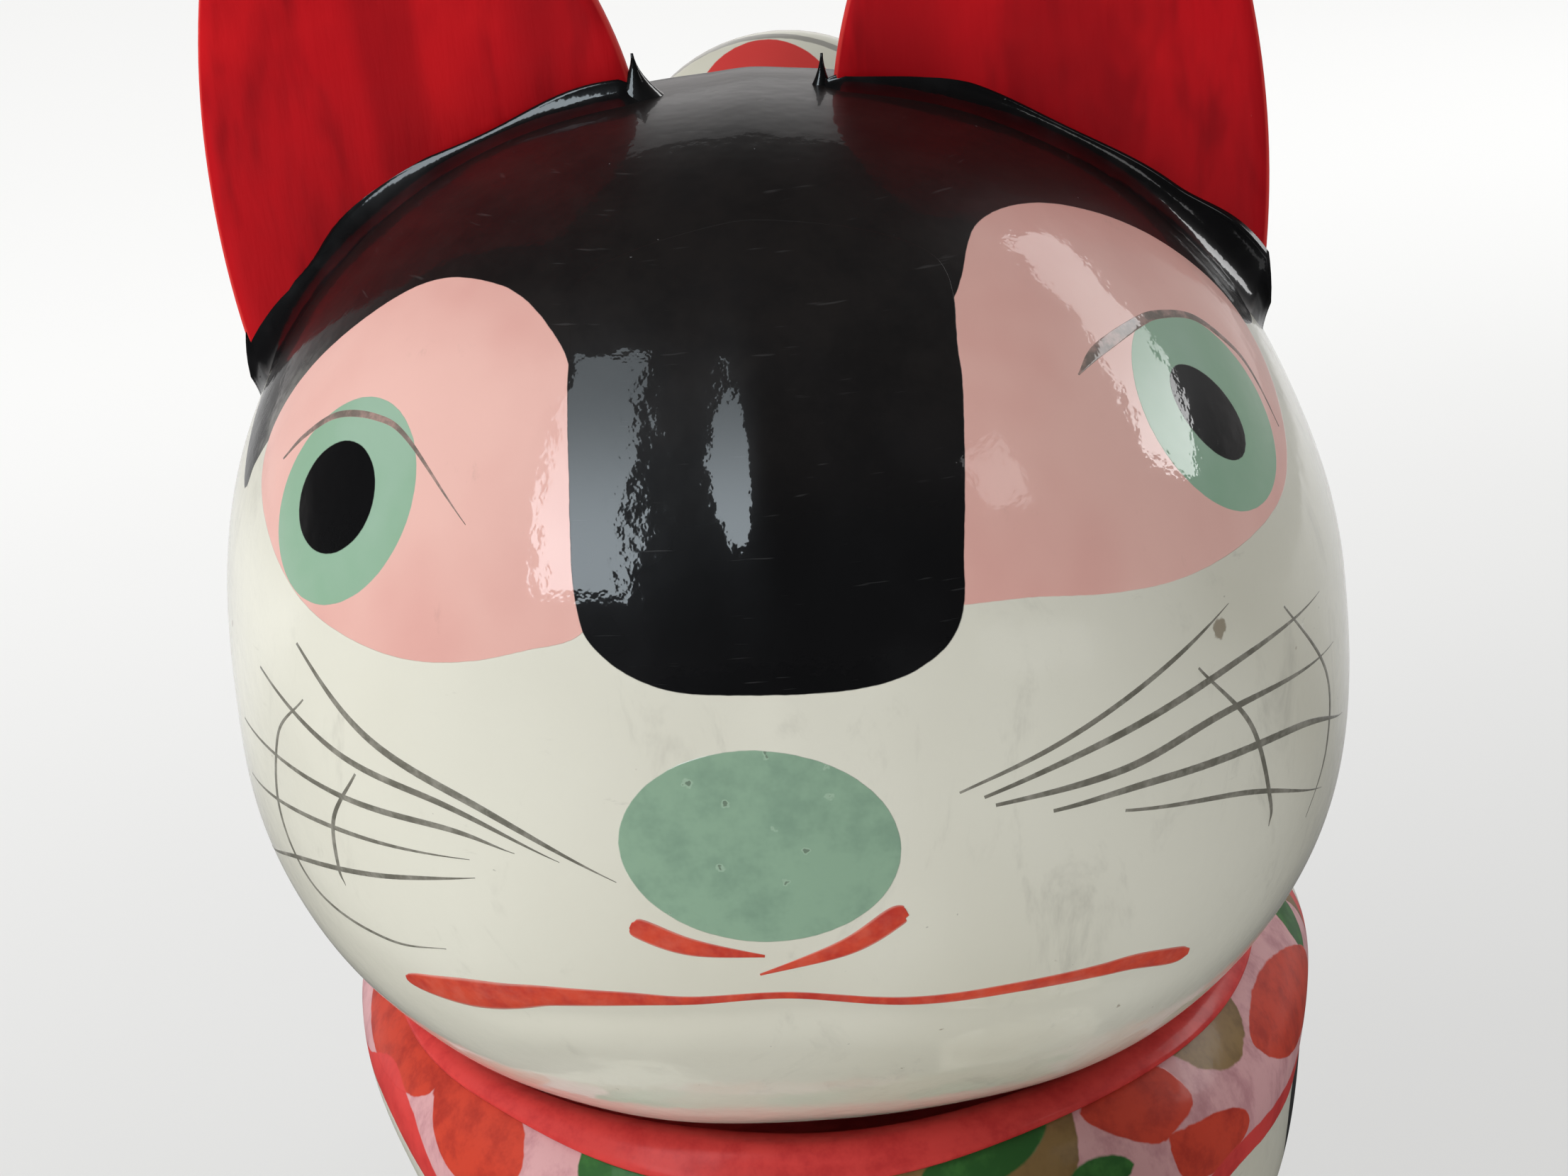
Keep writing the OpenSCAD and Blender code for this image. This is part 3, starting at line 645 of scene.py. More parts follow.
def ear_material():
    """Red card with soft upright brush marks, a paler edge painted as the bevel's highlight, and a black
    back.
    """
    p = Paint("ear_front")
    color = p.blotch(EAR_RED, EAR_DARK, 0.45, 0.72, 4.5, 3.0, 0.6, (1, 1, 0.28), (2, 0, 4), 0.4)
    blots = p.ramp(p.noise(11, 3.0, 0.6, (1, 1, 0.6), (7, 1, 2)), 0.48, 0.7)
    bands = p.ramp(p.noise(8, 1.0, 0.4, (1, 1, 0.15), (5, 0, 3)), 0.45, 0.62)
    color = p.tint(p.tint(color, EAR_BRIGHT, blots, 0.75), EAR_DARK, bands, 0.6)
    color = p.tint(color, EAR_DUST, p.specks(2.6, 0.12, 0.25), 0.4)
    # Painted highlight: the card's edge is paler all round, as a bevel catching the light
    color = p.tint(color, EAR_EDGE_HIGHLIGHT, p.ramp(p.field("edge"), 0.012, 0.024, 1.0, 0.0), 0.8)
    color = p.mix(color, BLACK_PAINT, p.ramp(p.field("kind"), 1.2, 1.6))
    under = p.bump(p.total((p.noise(0.8, 3.0, 0.7, (1, 1, 0.12)), 0.05), (p.noise(7, 2.0), 0.25)))
    return p.finish(p.surface(color, 0.5, 0.04, 0.3, under, under, specular=0.03))


def raw_material(name, light, dark, size, stretch=(1, 1, 1), rough=0.9, metal=0.0, depth=0.05):
    """Bare bamboo, clay, card, paper or wire: streaks of two tones and a little relief in millimetres."""
    p = Paint(name)
    grain = p.noise(size, 4.0, 0.65, stretch)
    color = p.mix(light, dark, p.ramp(grain, 0.38, 0.7))
    color = p.tint(color, dark, p.specks(size * 1.5, size * 0.12, 0.4), 0.6)
    return p.finish(p.surface(color, rough, normal=p.bump(p.math("MULTIPLY", grain, depth)), metal=metal))


def band_material():
    p = Paint("band_red")
    return p.lacquer(p.blotch(RED, RED_DEEP, 0.38, 0.72, 3.0, 4.0, 0.7), 0.4, 0.1, 0.16)


def bead_material():
    p = Paint("bead_black")
    color = p.blotch(BLACK_PAINT, (0.012, 0.012, 0.013), 0.45, 0.75, 5, 3.0)
    return p.lacquer(p.tint(color, (0.2, 0.2, 0.2), p.specks(1.7, 0.09, 0.35), 0.5), 0.38, 0.8, 0.08)


# ---- painted outlines on the face
BLADE = shape((-10.5, 38), (-11.5, 32), (-11.7, 24), (-11.8, 16), (-10.6, 12.6), (-6.5, 10.1), (0.3, 9.4),
    (7.2, 9.4), (11.3, 10.8), (13.3, 13.3), (13.9, 17.5), (14.9, 24), (15.6, 30), (15, 38), (2, 42))
CROWN = shape((-45, 21), (-48, 26), (-53, 35), (-62, 55), (-55, 85), (-30, 100), (0, 104), (30, 100),
    (55, 85), (64, 50), (57, 38), (53, 31.5), (50, 29.6), (46.3, 29.8), (42, 32), (35, 30), (0, 30),
    (-25, 30), (-38, 27), (-43, 23.5))
PINK_LEFT = shape((-41, 22.5), (-37.5, 17), (-32, 13.2), (-24, 11.4), (-16, 12.5), (-10.5, 15.5),
    (-11, 29), (-13.6, 34.5), (-18, 37.6), (-25, 38.1), (-34.6, 33.4), (-40, 27.8))
PINK_RIGHT = shape((12.5, 13.9), (12.5, 13.9), (18, 13.6), (24, 12.7), (30, 12.5), (37, 13.6), (42.3, 16),
    (45.5, 21), (47.3, 28), (45, 33.8), (36.5, 39.3), (27, 42), (20, 40.3), (16.8, 35), (14, 30),
    (13.5, 22))
IRISES = [oval(-30, 21.6, 8.35, 6.0, 51), oval(35.5, 23.3, 8.64, 6.25, 122)]
PUPILS = [oval(-30.4, 21.8, 4.46, 3.47, 49), oval(35, 23, 4.49, 2.46, 126)]
NOSE = oval(-1.5, -1.5, 9.4, 7.2, -5)

# ---- head
FRONT_COLS, BACK_COLS, HEAD_ROWS = 210, 90, 220
INNER_ROWS = 40
FRONT_SPAN = 80


def head_rows(lon, rows):
    """Directions from the rim of the neck hole up to just under the crown."""
    p = 2 / SQUARE
    s = math.sin(math.radians(HOLE_LAT)) ** SQUARE
    c = math.cos(math.radians(HOLE_LAT)) ** SQUARE
    wide = HEAD_HALF * (1 + TAPER * HEAD_DOWN * s / HEAD_UP) * c
    deep = np.where(np.cos(lon) > 0, HEAD_FRONT, HEAD_BACK) * c
    r = (np.abs(np.sin(lon) / wide) ** p + np.abs(np.cos(lon) / deep) ** p) ** (-1 / p)
    low = np.arctan2(-HEAD_DOWN * s, r)
    el = low + (np.pi / 2 - low) * np.arange(rows)[:, None] / rows
    return np.stack([np.cos(el) * np.sin(lon), -np.cos(el) * np.cos(lon), np.sin(el)], -1)


lon = around_steps(FRONT_COLS, BACK_COLS, FRONT_SPAN)
cols = len(lon)
up = np.array([[0.0, 0.0, 1.0]])
dirs = head_rows(lon, HEAD_ROWS)
inner = HEAD + head_skin(head_rows(lon, INNER_ROWS), HEAD_WALL)
skin = shell_mesh(HEAD + head_skin(dirs), HEAD + head_skin(up)[0],
                  inner, HEAD + head_skin(up, HEAD_WALL)[0])
uv = face_chart(np.vstack([dirs.reshape(-1, 3), up]))
head_fields = {key: near_signed(uv, outlines) for key, outlines in (
    ("crown", [CROWN]), ("pink", [PINK_LEFT, PINK_RIGHT]), ("blade", [BLADE]), ("iris", IRISES),
    ("pupil", PUPILS), ("nose", [NOSE]))}
# Where the crown's black is thin
head_fields["feather"] = smooth((36 - uv[:, 1]) / 8) * smooth((-33 - uv[:, 0]) / 4)
bare_paper = raw_material("bare_paper", (0.50, 0.43, 0.30), (0.36, 0.29, 0.19), 5)
add_piece("head_skin", skin, "head", [head_material(), bare_paper],
          ("head_left_shell", "head_right_shell"), head_fields,
          [0] * (HEAD_ROWS * cols) + [1] * ((INNER_ROWS + 1) * cols))

# ---- brush strokes on the face
STROKE_ACROSS = np.linspace(-1, 1, 9)
STROKE_SUNK, STROKE_BED = 0.012, 0.08


def stroke_rings(path, height):
    """A thin closed ribbon of paint on the head. A path is chart places with a width each."""
    line = spline(path, 14)
    middle = line[:, :2]
    wide = np.maximum(line[:, 2], 0.05)
    along = unit(np.gradient(middle, axis=0))
    side = np.stack([-along[:, 1], along[:, 0]], 1)
    d = face_dir(middle[:, None] + side[:, None] * (STROKE_ACROSS * wide[:, None] / 2)[..., None])
    skin = HEAD + head_skin(d)
    lift = height * (1 - STROKE_ACROSS ** 4) - STROKE_SUNK
    return np.concatenate([skin + d * lift[:, None], (skin - d * STROKE_BED)[:, ::-1]], 1)


def joined(skins):
    """Several skins as one."""
    points, faces = np.empty((0, 3)), []
    for p, f in skins:
        faces += [tuple(len(points) + i for i in g) for g in f]
        points = np.vstack([points, p])
    return points, faces


def strokes(name, paths, height, *paint):
    """Several ribbons as one piece on the head."""
    points, faces = joined([tube_mesh(stroke_rings(path, height)) for path in paths])
    ring = np.concatenate([STROKE_ACROSS, STROKE_ACROSS[::-1]])
    add_piece(name, (points, faces), "head", [stroke_material(*paint)], (),
              {"across": np.tile(ring, len(points) // len(ring))})


def tapered(width, *points):
    """A hair-thin brush line, thickest in the middle and pointed where the brush leaves."""
    n = len(points) - 1
    swell = [math.sin(math.pi * min(1, (i + 0.35) / (n + 0.5))) for i in range(n)]
    widths = [1.2 * width * (0.25 + 1.1 * s) / 1.35 for s in swell] + [0.06]
    return [(*p, w) for p, w in zip(points, widths)]


strokes("whiskers", [
    tapered(0.62, (-34.8, 10.8), (-28.7, 5.4), (-20, 1.2), (-11.4, -3.7)),
    tapered(0.55, (-40.6, 7.5), (-31.8, 3.4), (-22.9, 1.2), (-15.1, -2.3)),
    tapered(0.5, (-46.1, 1), (-32.5, -0.1), (-23.2, -0.6), (-18.2, -1.9)),
    tapered(0.42, (-46.4, -4.4), (-33.7, -3.2), (-21.6, -2.8)),
    tapered(0.45, (-47, -12.7), (-38.7, -8.3), (-27.7, -5.5), (-21.4, -4.2)),
    tapered(0.4, (-34.7, 6.6), (-39, 2.4), (-40.7, -4.8), (-38, -10.5), (-30.3, -11.9), (-24.9, -11)),
    tapered(0.4, (-30.1, 2.1), (-33.2, -2.4), (-33.7, -6.7), (-33.3, -8.2)),
    tapered(0.4, (12.1, 1.2), (19, 3.5), (27.6, 7.2), (33, 9.6)),
    tapered(0.55, (13.7, 0.6), (22.3, 2.9), (33, 5.3), (44.8, 6.4)),
    tapered(0.6, (14.4, -0.1), (23.3, 0.5), (32.6, 2.1), (46.7, 1.1)),
    tapered(0.62, (18.2, -1.3), (26.8, -1.1), (39.4, -2.5), (48.3, -6.7)),
    tapered(0.42, (23.2, -2.6), (33.6, -5.2), (42.8, -10.3)),
    tapered(0.4, (29.6, 6), (34, 0), (35.5, -7), (35.3, -9.1)),
    tapered(0.4, (39, 7.4), (44.4, -0.4), (43.6, -6.7), (40.2, -11.5)),
], 0.03, "whisker_paint", WHISKER, WHISKER_PALE, WHITE_PAINT, 0.8)
strokes("eyelids", [
    tapered(0.5, (-37.4, 24.1), (-34.7, 26.1), (-31.1, 27.7), (-26.9, 27.6), (-23.8, 26.1), (-19.1, 20.6)),
    [(24, 27.3, 0.15), (26.1, 28.8, 1.15), (30.5, 30.5, 1.05), (33.3, 31, 0.85), (37.1, 30.5, 0.7),
     (40.2, 28.3, 0.6), (42.3, 25.7, 0.45), (44, 20.3, 0.12)],
], 0.03, "lid_paint", LID, LID_PALE, PINK, 0.65)
strokes("mouth", [
    [(-29.6, -15.7, 0.7), (-29.1, -15.7, 1.5), (-27.7, -15.5, 2.3), (-24, -15, 3.2), (-20.8, -14.5, 2.9),
     (-17.7, -13.9, 2.2), (-12.1, -13.7, 1.5), (-7.8, -13.8, 0.95), (-1.2, -13.6, 0.75), (6.8, -15, 0.95),
     (15, -15.2, 1.1), (20.6, -15.6, 1.4), (23.7, -16, 1.7), (27, -17.2, 1.8), (28.1, -17.5, 0.8)],
    [(-10.9, -7.1, 0.6), (-10.3, -7.4, 1.8), (-7.1, -8.9, 1.6), (-2.1, -9.9, 0.25)],
    [(7.8, -7.2, 0.7), (7.0, -7.5, 1.8), (3.5, -9.6, 1.5), (-2.6, -11.5, 0.2)],
], 0.06, "mouth_paint", MOUTH_RED, MOUTH_DEEP, WHITE_PAINT, 0.96)

# ---- ears
EAR_PLANE = 1.0
EAR_T = 1.4
EAR_FRONT, EAR_BACK = EAR_PLANE - EAR_T / 2, EAR_PLANE + EAR_T / 2
EAR_TIP = 71.0
# Where the inner edge starts and where it is pulled to, for the cat's left (1) and right (-1)
EAR_IN = {1: 7.6, -1: 6.7}
EAR_LEAN_IN = {1: 10.0, -1: 8.4}
EAR_OUT = 37.2
TIP_R = 3.4
# How far in the card's bevel goes, as a share of the way to the ear's centre
BEVEL = 0.018
EAR_CENTRE = np.array([24.5, 51.0])


def head_edge(x):
    """Height above the head's centre of its outline in the ears' plane, at x from the middle."""
    def past(z):
        c = (1 - (z / HEAD_UP) ** (2 / SQUARE)) ** (SQUARE / 2)
        return x - HEAD_HALF * (1 - TAPER * z / HEAD_UP) * c
    return crossing(past, 0.0, HEAD_UP, 30)


def bend(a, b, c, count):
    """Quadratic curve from a towards c, pulled to b."""
    t = np.linspace(0, 1, count, endpoint=False)[:, None]
    return np.array(a) * (1 - t) ** 2 + 2 * np.array(b) * t * (1 - t) + np.array(c) * t ** 2


def polar(centre, r, degrees):
    k = math.radians(degrees)
    return [centre[0] + r * math.cos(k), centre[1] + r * math.sin(k)]


def ear_outline(inner, lean_in):
    """The foot runs from the outer edge in. Lean_in is where the inner edge is pulled to."""
    z_in = head_edge(inner) + 0.1
    z_out = head_edge(EAR_OUT) + 0.1
    tip = [26.5, EAR_TIP - TIP_R]
    xs = np.linspace(EAR_OUT, inner, 40, endpoint=False)
    foot = np.array([[x, head_edge(x) + 0.1] for x in xs])
    inner_side = bend([inner, z_in], [lean_in, z_in + 13], polar(tip, TIP_R, 145), 30)
    crown = np.array([polar(tip, TIP_R, a) for a in np.linspace(145, 28, 16, endpoint=False)])
    outer_side = bend(polar(tip, TIP_R, 28), [42.2, 45], [EAR_OUT, z_out], 36)
    return np.vstack([foot, inner_side, crown, outer_side])


def on_head(side, x, y, z):
    """Points beside the head's middle on one side, leaning as the head does."""
    return HEAD + np.stack([side * x - LEAN * z, y, z], 1)


ear_waves = Waves([17, 23, 31], 0.12)
card_red = ear_material()
bead_black = bead_material()
# Share of the way in from the outline, depth in Y, and the kind: 0 front, 1 edge and 2 back
EAR_LAYOUT = (
    [(share, EAR_FRONT, 0) for share in (0.97, 0.8, 0.6, 0.4, 0.2, 0.1)]
    + [(BEVEL, EAR_FRONT, 1), (0.004, EAR_FRONT + 0.22, 1), (0, EAR_FRONT + 0.45, 1)]
    + [(0, EAR_BACK - 0.35, 1)]
    + [(share, EAR_BACK, 2) for share in (BEVEL, 0.1, 0.3, 0.6, 0.97)])


def make_ear(side, name):
    outline = ear_outline(EAR_IN[side], EAR_LEAN_IN[side])
    rings = []
    for share, y, _ in EAR_LAYOUT:
        flat = outline + (EAR_CENTRE - outline) * share
        ring = on_head(side, flat[:, 0], np.full(len(flat), y), flat[:, 1]) - HEAD
        ring[:, 1] += ear_waves(ring * [1, 0, 1])
        rings.append(HEAD + ring)
    fields = {"edge": np.repeat([row[0] for row in EAR_LAYOUT], len(outline)),
              "kind": np.repeat([row[2] for row in EAR_LAYOUT], len(outline))}
    add_piece(name + "_card", tube_mesh(rings), "head", [card_red], (name,), fields)


joint_waves = Waves([6, 9, 13], 0.5)
# The fillet's height and reach, and how much higher it gets over the last part at the outer end
JOINT_RISE, JOINT_REACH = 1.8, 3.2
FOOT_RISE, FOOT_RUN = 2.8, 7.0
HOLLOW = 1.8
HORN_DEPTH = 1.2


def make_joint(side, name, horn_at, horn_r, horn_z):
    """A hollow fillet of black lacquered paste along the ear's foot, drawn out to a small horn at its
    inner end. The horn stands horn_at from the ear, with the radius horn_r and the height horn_z."""
    inner_x = EAR_IN[side]
    xs = np.linspace(inner_x - 0.6, EAR_OUT + 0.15, 130)
    k = np.linspace(0, 1, 13)
    rings = []
    for i, x in enumerate(xs):
        dz = (head_edge(x + 0.1) - head_edge(x - 0.1)) / 0.2
        foot = float(smooth((x - EAR_OUT + FOOT_RUN) / FOOT_RUN))
        out = unit(unit(np.array([-dz, 1.0])) + foot * np.array([-0.1, 1.2]))
        ends = min(1.0, (i + 1) / 7, (len(xs) - i) / 5) ** 0.5
        uneven = joint_waves(np.array([side * x, 0.0, side * 5.0]))
        rise = (JOINT_RISE + FOOT_RISE * foot + uneven) * ends
        reach = (JOINT_REACH - 0.6 * uneven) * ends
        s = np.concatenate([reach * (1 - k) ** HOLLOW, [-0.3, -0.3, 0.6 * reach]])
        h = np.concatenate([rise * k ** HOLLOW - 0.3 * (1 - k), [0.9 * rise, -0.5, -0.6]])
        flat = np.array([x, head_edge(x)]) + out * h[:, None]
        rings.append(on_head(side, flat[:, 0], EAR_FRONT - s, flat[:, 1]))
    a = np.radians(np.arange(0, 360, 24))
    horn = []
    for t in np.linspace(0, 1, 12):
        r = horn_r * (1 - t) ** 1.9 + 0.1
        z = np.full(len(a), head_edge(inner_x) - HORN_DEPTH + (horn_z + HORN_DEPTH) * t)
        horn.append(on_head(side, inner_x - horn_at * (1 - 0.4 * t) + r * np.cos(a),
                            EAR_FRONT + 0.4 + 0.55 * r * np.sin(a), z))
    add_piece(name + "_joint", joined([tube_mesh(rings), tube_mesh(horn)]), "head", [bead_black],
              (name,))


make_ear(1, "ear_left")
make_ear(-1, "ear_right")
make_joint(1, "ear_left_bead", 1.0, 1.5, 2.4)
make_joint(-1, "ear_right_bead", 0.2, 3.6, 3.3)

# ---- body
BODY_ROWS, BODY_FRONT, BODY_BACK = 150, 280, 90
BODY_SPAN = 100
# The share of the wall's thickness at the rim, where the head needs room
RIM_WALL = 0.45
around = around_steps(BODY_FRONT, BODY_BACK, BODY_SPAN)
cols = len(around)


def body_rows(rows, depth=0.0):
    """Rows from the rim of the neck opening to the rump, closer together near the rim. The inner skin
    lies at a depth under the outer one, less at the rim."""
    t = (np.arange(rows) / rows)[:, None]
    start = rim(around)
    off = start + (np.pi - start) * (0.45 * t + 0.55 * t * t)
    wall = -depth * (RIM_WALL + (1 - RIM_WALL) * smooth((off - start) / RIM_RUN))
    return body_place(off, around, (lambda q: wall) if depth else body_waves)


end_dir = body_dir(np.array([np.pi]), np.array([0.0]))
end_reach = body_reach(end_dir)[0]
outer = body_rows(BODY_ROWS)
body_shell = shell_mesh(outer, CORE + end_dir[0] * end_reach, body_rows(INNER_ROWS, BODY_WALL),
                        CORE + end_dir[0] * (end_reach - BODY_WALL), flip=True)
skin = np.vstack([outer.reshape(-1, 3), CORE + end_dir * end_reach])
bib_uv = bib_chart(skin)
bib_uv[skin[:, 1] > 0] = (90, 90)

BIB = shape((-74, 62), (-74, 42.8), (-58, 42.4), (-47, 42.1), (-39.5, 39.7), (-31.5, 35.7), (-24, 31.2),
    (-12, 28), (0, 27), (12, 28), (22, 31), (29, 35), (36, 37.6), (44, 37.2), (54, 36.6), (66, 40),
    (66, 62), (30, 66), (-30, 66))
PINKS = [
    shape((-69, 46), (-63, 51), (-48, 52), (-36, 51), (-27, 49.5), (-20.5, 47.2), (-20, 43.5),
        (-25, 40.5), (-36, 38), (-48, 41)),
    shape((20.5, 41.5), (21.5, 44.8), (24, 48.6), (31, 49.3), (36, 46.0), (39.5, 45.2), (43, 46.6),
        (47, 50), (60, 50), (65, 44), (60, 36), (48, 36.5), (38, 37), (27, 39)),
    shape((-17, 33), (-13, 38.5), (-4, 40.5), (5, 39), (8, 34), (2, 30.5), (-9, 29.5)),
]
BLOOMS = [
    shape((-62, 48.3), (-56, 45.6), (-49, 44.5), (-42, 45.2), (-39, 46.7), (-41, 48.2), (-48, 49.8),
        (-56, 50.6)),
    shape((-39, 46.9), (-41, 48.3), (-37, 49.4), (-30, 48.3), (-27, 47), (-26, 44.5), (-29, 41.8),
        (-34, 42.6), (-37, 44.6)),
    shape((23, 46.9), (25, 47.7), (29, 48), (32, 47.5), (33, 45.2), (31, 44.2), (28, 43.7), (24, 45.7)),
    shape((29, 42.7), (30, 43.7), (35, 43.4), (38, 42.1), (38, 40.2), (34, 39), (30, 40)),
    shape((43, 46), (48, 47.4), (55, 46.8), (61, 44), (60, 40), (51, 40.6), (46, 42.2), (43, 44.3)),
    oval(-9, 36.4, 4.2, 2.8, 20), oval(1.5, 35.2, 3.9, 2.9, -25), oval(-5, 32.3, 3.4, 2.2, 5),
]
LEAVES = [
    shape((-21, 46.7), (-20, 47.9), (-17, 47.4), (-13, 46.5), (-10.5, 45.2), (-14, 44.2), (-20, 45)),
    shape((8, 44.6), (11, 46.6), (14, 47.6), (19, 48), (20, 46.8), (17, 45), (12, 43.6)),
    shape((20, 43.1), (21.5, 44.1), (24, 44.1), (25.5, 42.9), (23.5, 42.0)),
    oval(62, 47, 3.4, 1.8, 60), oval(-16, 42, 4.4, 1.9, -35), oval(12, 37, 4.6, 1.9, 30),
    oval(-1, 42.6, 3.6, 1.5, -10), oval(20, 36, 3.2, 1.5, -30),
]
bib_gap = near_signed(bib_uv, [BIB], 6.0)
BORDER = 2.1
# On the cat's right the red border is painted wide, and thins out towards the shoulder
outward_u = -bib_uv[:, 0]
border_width = BORDER + 1.8 * smooth((outward_u - 33) / 8) - 3.0 * smooth((outward_u - 46) / 10)


def blobs(points, balls):
    """Distance to the nearest of several balls, stretched by their three radii."""
    best = np.full(len(points), FAR)
    for centre, radii in balls:
        r = np.array(radii, float)
        best = np.minimum(best, (np.linalg.norm((points - centre) / r, axis=1) - 1) * r.min())
    return best


body_fields = {
    "bib": bib_gap,
    "border": -bib_gap - border_width,
    "petal": near_signed(bib_uv, PINKS),
    "bloom": near_signed(bib_uv, BLOOMS),
    "leaf": near_signed(bib_uv, LEAVES),
    "patch": blobs(skin, [((42, -13, 31), (12, 14, 12)), ((-42, 2, 44), (14, 19, 16)),
                          ((30, 42, 64), (20, 17, 12))]),
    "saddle": blobs(skin, [((-28, 46, 60), (17, 14, 15)), ((42, 22, 38), (10, 12, 11))]),
}
# The rim of the opening and the first rows inside it are painted with the band
band_red = band_material()
RED_ROWS = 3
add_piece("body_skin", body_shell, "root", [body_material(), bare_paper, band_red],
          ("body_left_shell", "body_right_shell"), body_fields,
          [0] * (BODY_ROWS * cols) + [2] * (RED_ROWS * cols) + [1] * ((INNER_ROWS - RED_ROWS) * cols)
          + [2] * cols)

# ---- neck band
BAND_W, BAND_T = 3.2, 1.0
BAND_STEPS = 360
BAND_GAP = math.radians(0.15)
# The band is narrower beside the cheeks, most on the cat's right, and meets the chin in front
WIDTH_RIGHT, WIDTH_LEFT = 0.45, 0.62
CHIN_LIFT = 0.5
# Places across the band, as shares of half its width, and heights as shares of its thickness
BAND_SECTION = [
    (-1.2, -1.2), (-1.32, -0.5), (-1.3, 0.1), (-1.15, 0.55), (-0.7, 0.88), (-0.3, 0.98), (0, 1.0),
    (0.3, 0.98), (0.65, 0.88), (0.9, 0.66), (1.02, 0.35), (1, 0.05)]
# It is a little narrower still where the swaying head comes closest
PINCH, PINCH_AT, PINCH_WIDE = 0.09, 0.38, 0.24
turn = np.radians(np.arange(BAND_STEPS) * 360 / BAND_STEPS)
at_rim = body_place(rim(turn), turn, body_waves)
wander = Waves([29, 37, 53], 0.10)
from_front = (turn + np.pi) % (2 * np.pi) - np.pi
to_side = smooth((np.abs(from_front) - math.radians(8)) / math.radians(34))
side_width = np.where(from_front < 0, WIDTH_RIGHT, WIDTH_LEFT)
front = bell(from_front + 0.15, math.radians(38)) + 1.1 * bell(from_front + 0.05, math.radians(11))
spread = BAND_W / 2 * (1 - (1 - side_width) * to_side) / np.linalg.norm(at_rim - CORE, axis=1)
spread *= 1 + wander(at_rim)
spread *= 1 - PINCH * bell(from_front - PINCH_AT, PINCH_WIDE)
middle = rim(turn) + spread + BAND_GAP


def band_line(k, lift):
    """A line round the band."""
    def rise(q):
        out = lift * BAND_T * (1 + 0.6 * wander(q * 1.7 + 9))
        return body_waves(q) + (out - CHIN_LIFT * min(k, 0) * front if lift > 0 else out)
    return body_place(middle + k * spread, turn, rise)


sections = np.stack([band_line(k, lift) for k, lift in BAND_SECTION], 1)
add_piece("neck_band", tube_mesh(sections, closed=True), "root", [band_red],
          ("collar_band",))

# ---- legs
SOLE_T = 1.0
FOOT_R = 12.5
LEG_DRAW = 0.93
LEG_TOP_R = 11.0
# Where the toe lines are across a foot and across the raised paw, with half their width and the least of it
TOE_X, PAW_X, PAW_TOE_X = (-4.2, 0.0, 4.2), 20.7, (-3.6, 0.0, 3.6)
TOE_LINE, PAW_LINE, THIN_LINE = 0.42, 0.4, 0.08
leg_waves = Waves([11, 17, 23], 0.10)
leg_paint = limb_material("leg_lacquer", toes=BLACK_PAINT)


def toe_lines(sides, half_width, past):
    """Signed distance to the black toe lines, from the distances beside and past them."""
    gaps = [np.maximum(np.abs(side) - half_width - THIN_LINE, past) for side in sides]
    return {"toes": np.minimum(3.0, np.min(gaps, 0))}


def make_leg(name, x, y):
    # Height above the sole, radius, and how far the toes bulge forward
    profile = spline([(0, FOOT_R - 1.1, 1.6), (0.35, FOOT_R - 0.5, 2.0), (1, FOOT_R, 2.4),
                      (4, FOOT_R + 0.4, 2.0), (7, FOOT_R, 0.8), (9.6, FOOT_R - 0.2, 0.2)], 7)
    a = around_steps(90, 50, 70)
    dirs = np.stack([np.sin(a), -np.cos(a)], 1)
    rings = [level_ring(x + 0.3 * dirs[:, 0], y + 0.3 * dirs[:, 1], SOLE_T)]
    for h, r, bulge in profile:
        front = y + r * dirs[:, 1] - bulge * np.maximum(0, -dirs[:, 1]) ** 2
        rings.append(level_ring(x + r * dirs[:, 0], front, SOLE_T + h))
    top_x = x * LEG_DRAW + (LEG_TOP_R + 0.3) * dirs[:, 0]
    top_y = y * LEG_DRAW + (LEG_TOP_R + 0.3) * dirs[:, 1]
    top = np.column_stack([top_x, top_y, skin_height(top_x, top_y, 0) + 0.25])
    last = rings[-1]
    rings += [last + (top - last) * t for t in (0.3, 0.6, 0.85, 1.0)]
    centre = top.mean(0)
    for share in (0.6, 0.2):
        ring = centre + (top - centre) * share
        ring[:, 2] = skin_height(ring[:, 0], ring[:, 1], 0) + 0.9
        rings.append(ring)
    rings = np.array(rings)
    wave = leg_waves(rings)[..., None] * np.array([1, 1, 0])
    rings[1:] += unit(rings[1:] - [x, y, 12]) * wave[1:]
    skin = tube_mesh(rings)
    p = skin[0] - [x, y, 0]
    sides = [p[:, 0] - tx * (1 + 0.02 * p[:, 2]) for tx in TOE_X]
    toes = toe_lines(sides, TOE_LINE * smooth((7.4 - p[:, 2]) / 5), np.maximum(p[:, 2] - 7.2, p[:, 1] + 4))
    add_piece(name + "_skin", skin, "root", [leg_paint], (name,), toes)


make_leg("standing_foreleg", -22, -35)
make_leg("rear_left_leg", 25, 41)
make_leg("rear_right_leg", -25, 41)

# The raised foreleg: centre, half widths across and along, and the turn of the section
ARM = [
    ((23, -47.6, 26.5), 12.0, 11.5, -14), ((23.5, -52.1, 25.5), 11.4, 10.4, -4),
    ((23.5, -56.1, 26.5), 10.6, 9.0, 25), ((23, -58.4, 30.5), 9.8, 7.4, 62),
    ((22.2, -58.8, 35.5), 9.4, 6.8, 86), ((21.4, -58.8, 40.5), 9.8, 7.2, 92),
    ((20.8, -59.2, 45), 9.8, 7.4, 96), ((20.5, -59.8, 48.2), 7.4, 5.6, 98),
    ((20.4, -60.2, 49.8), 2.0, 1.5, 98),
]
arm_a = np.radians(np.arange(0, 360, 4))
rings = []
for row in spline([(*c, u, v, t) for c, u, v, t in ARM], 8):
    tilt = math.radians(row[5])
    u = row[3] * np.cos(arm_a)
    v = row[4] * np.sin(arm_a)
    rings.append(row[:3] + np.stack([u, -v * math.sin(tilt), -v * math.cos(tilt)], 1))
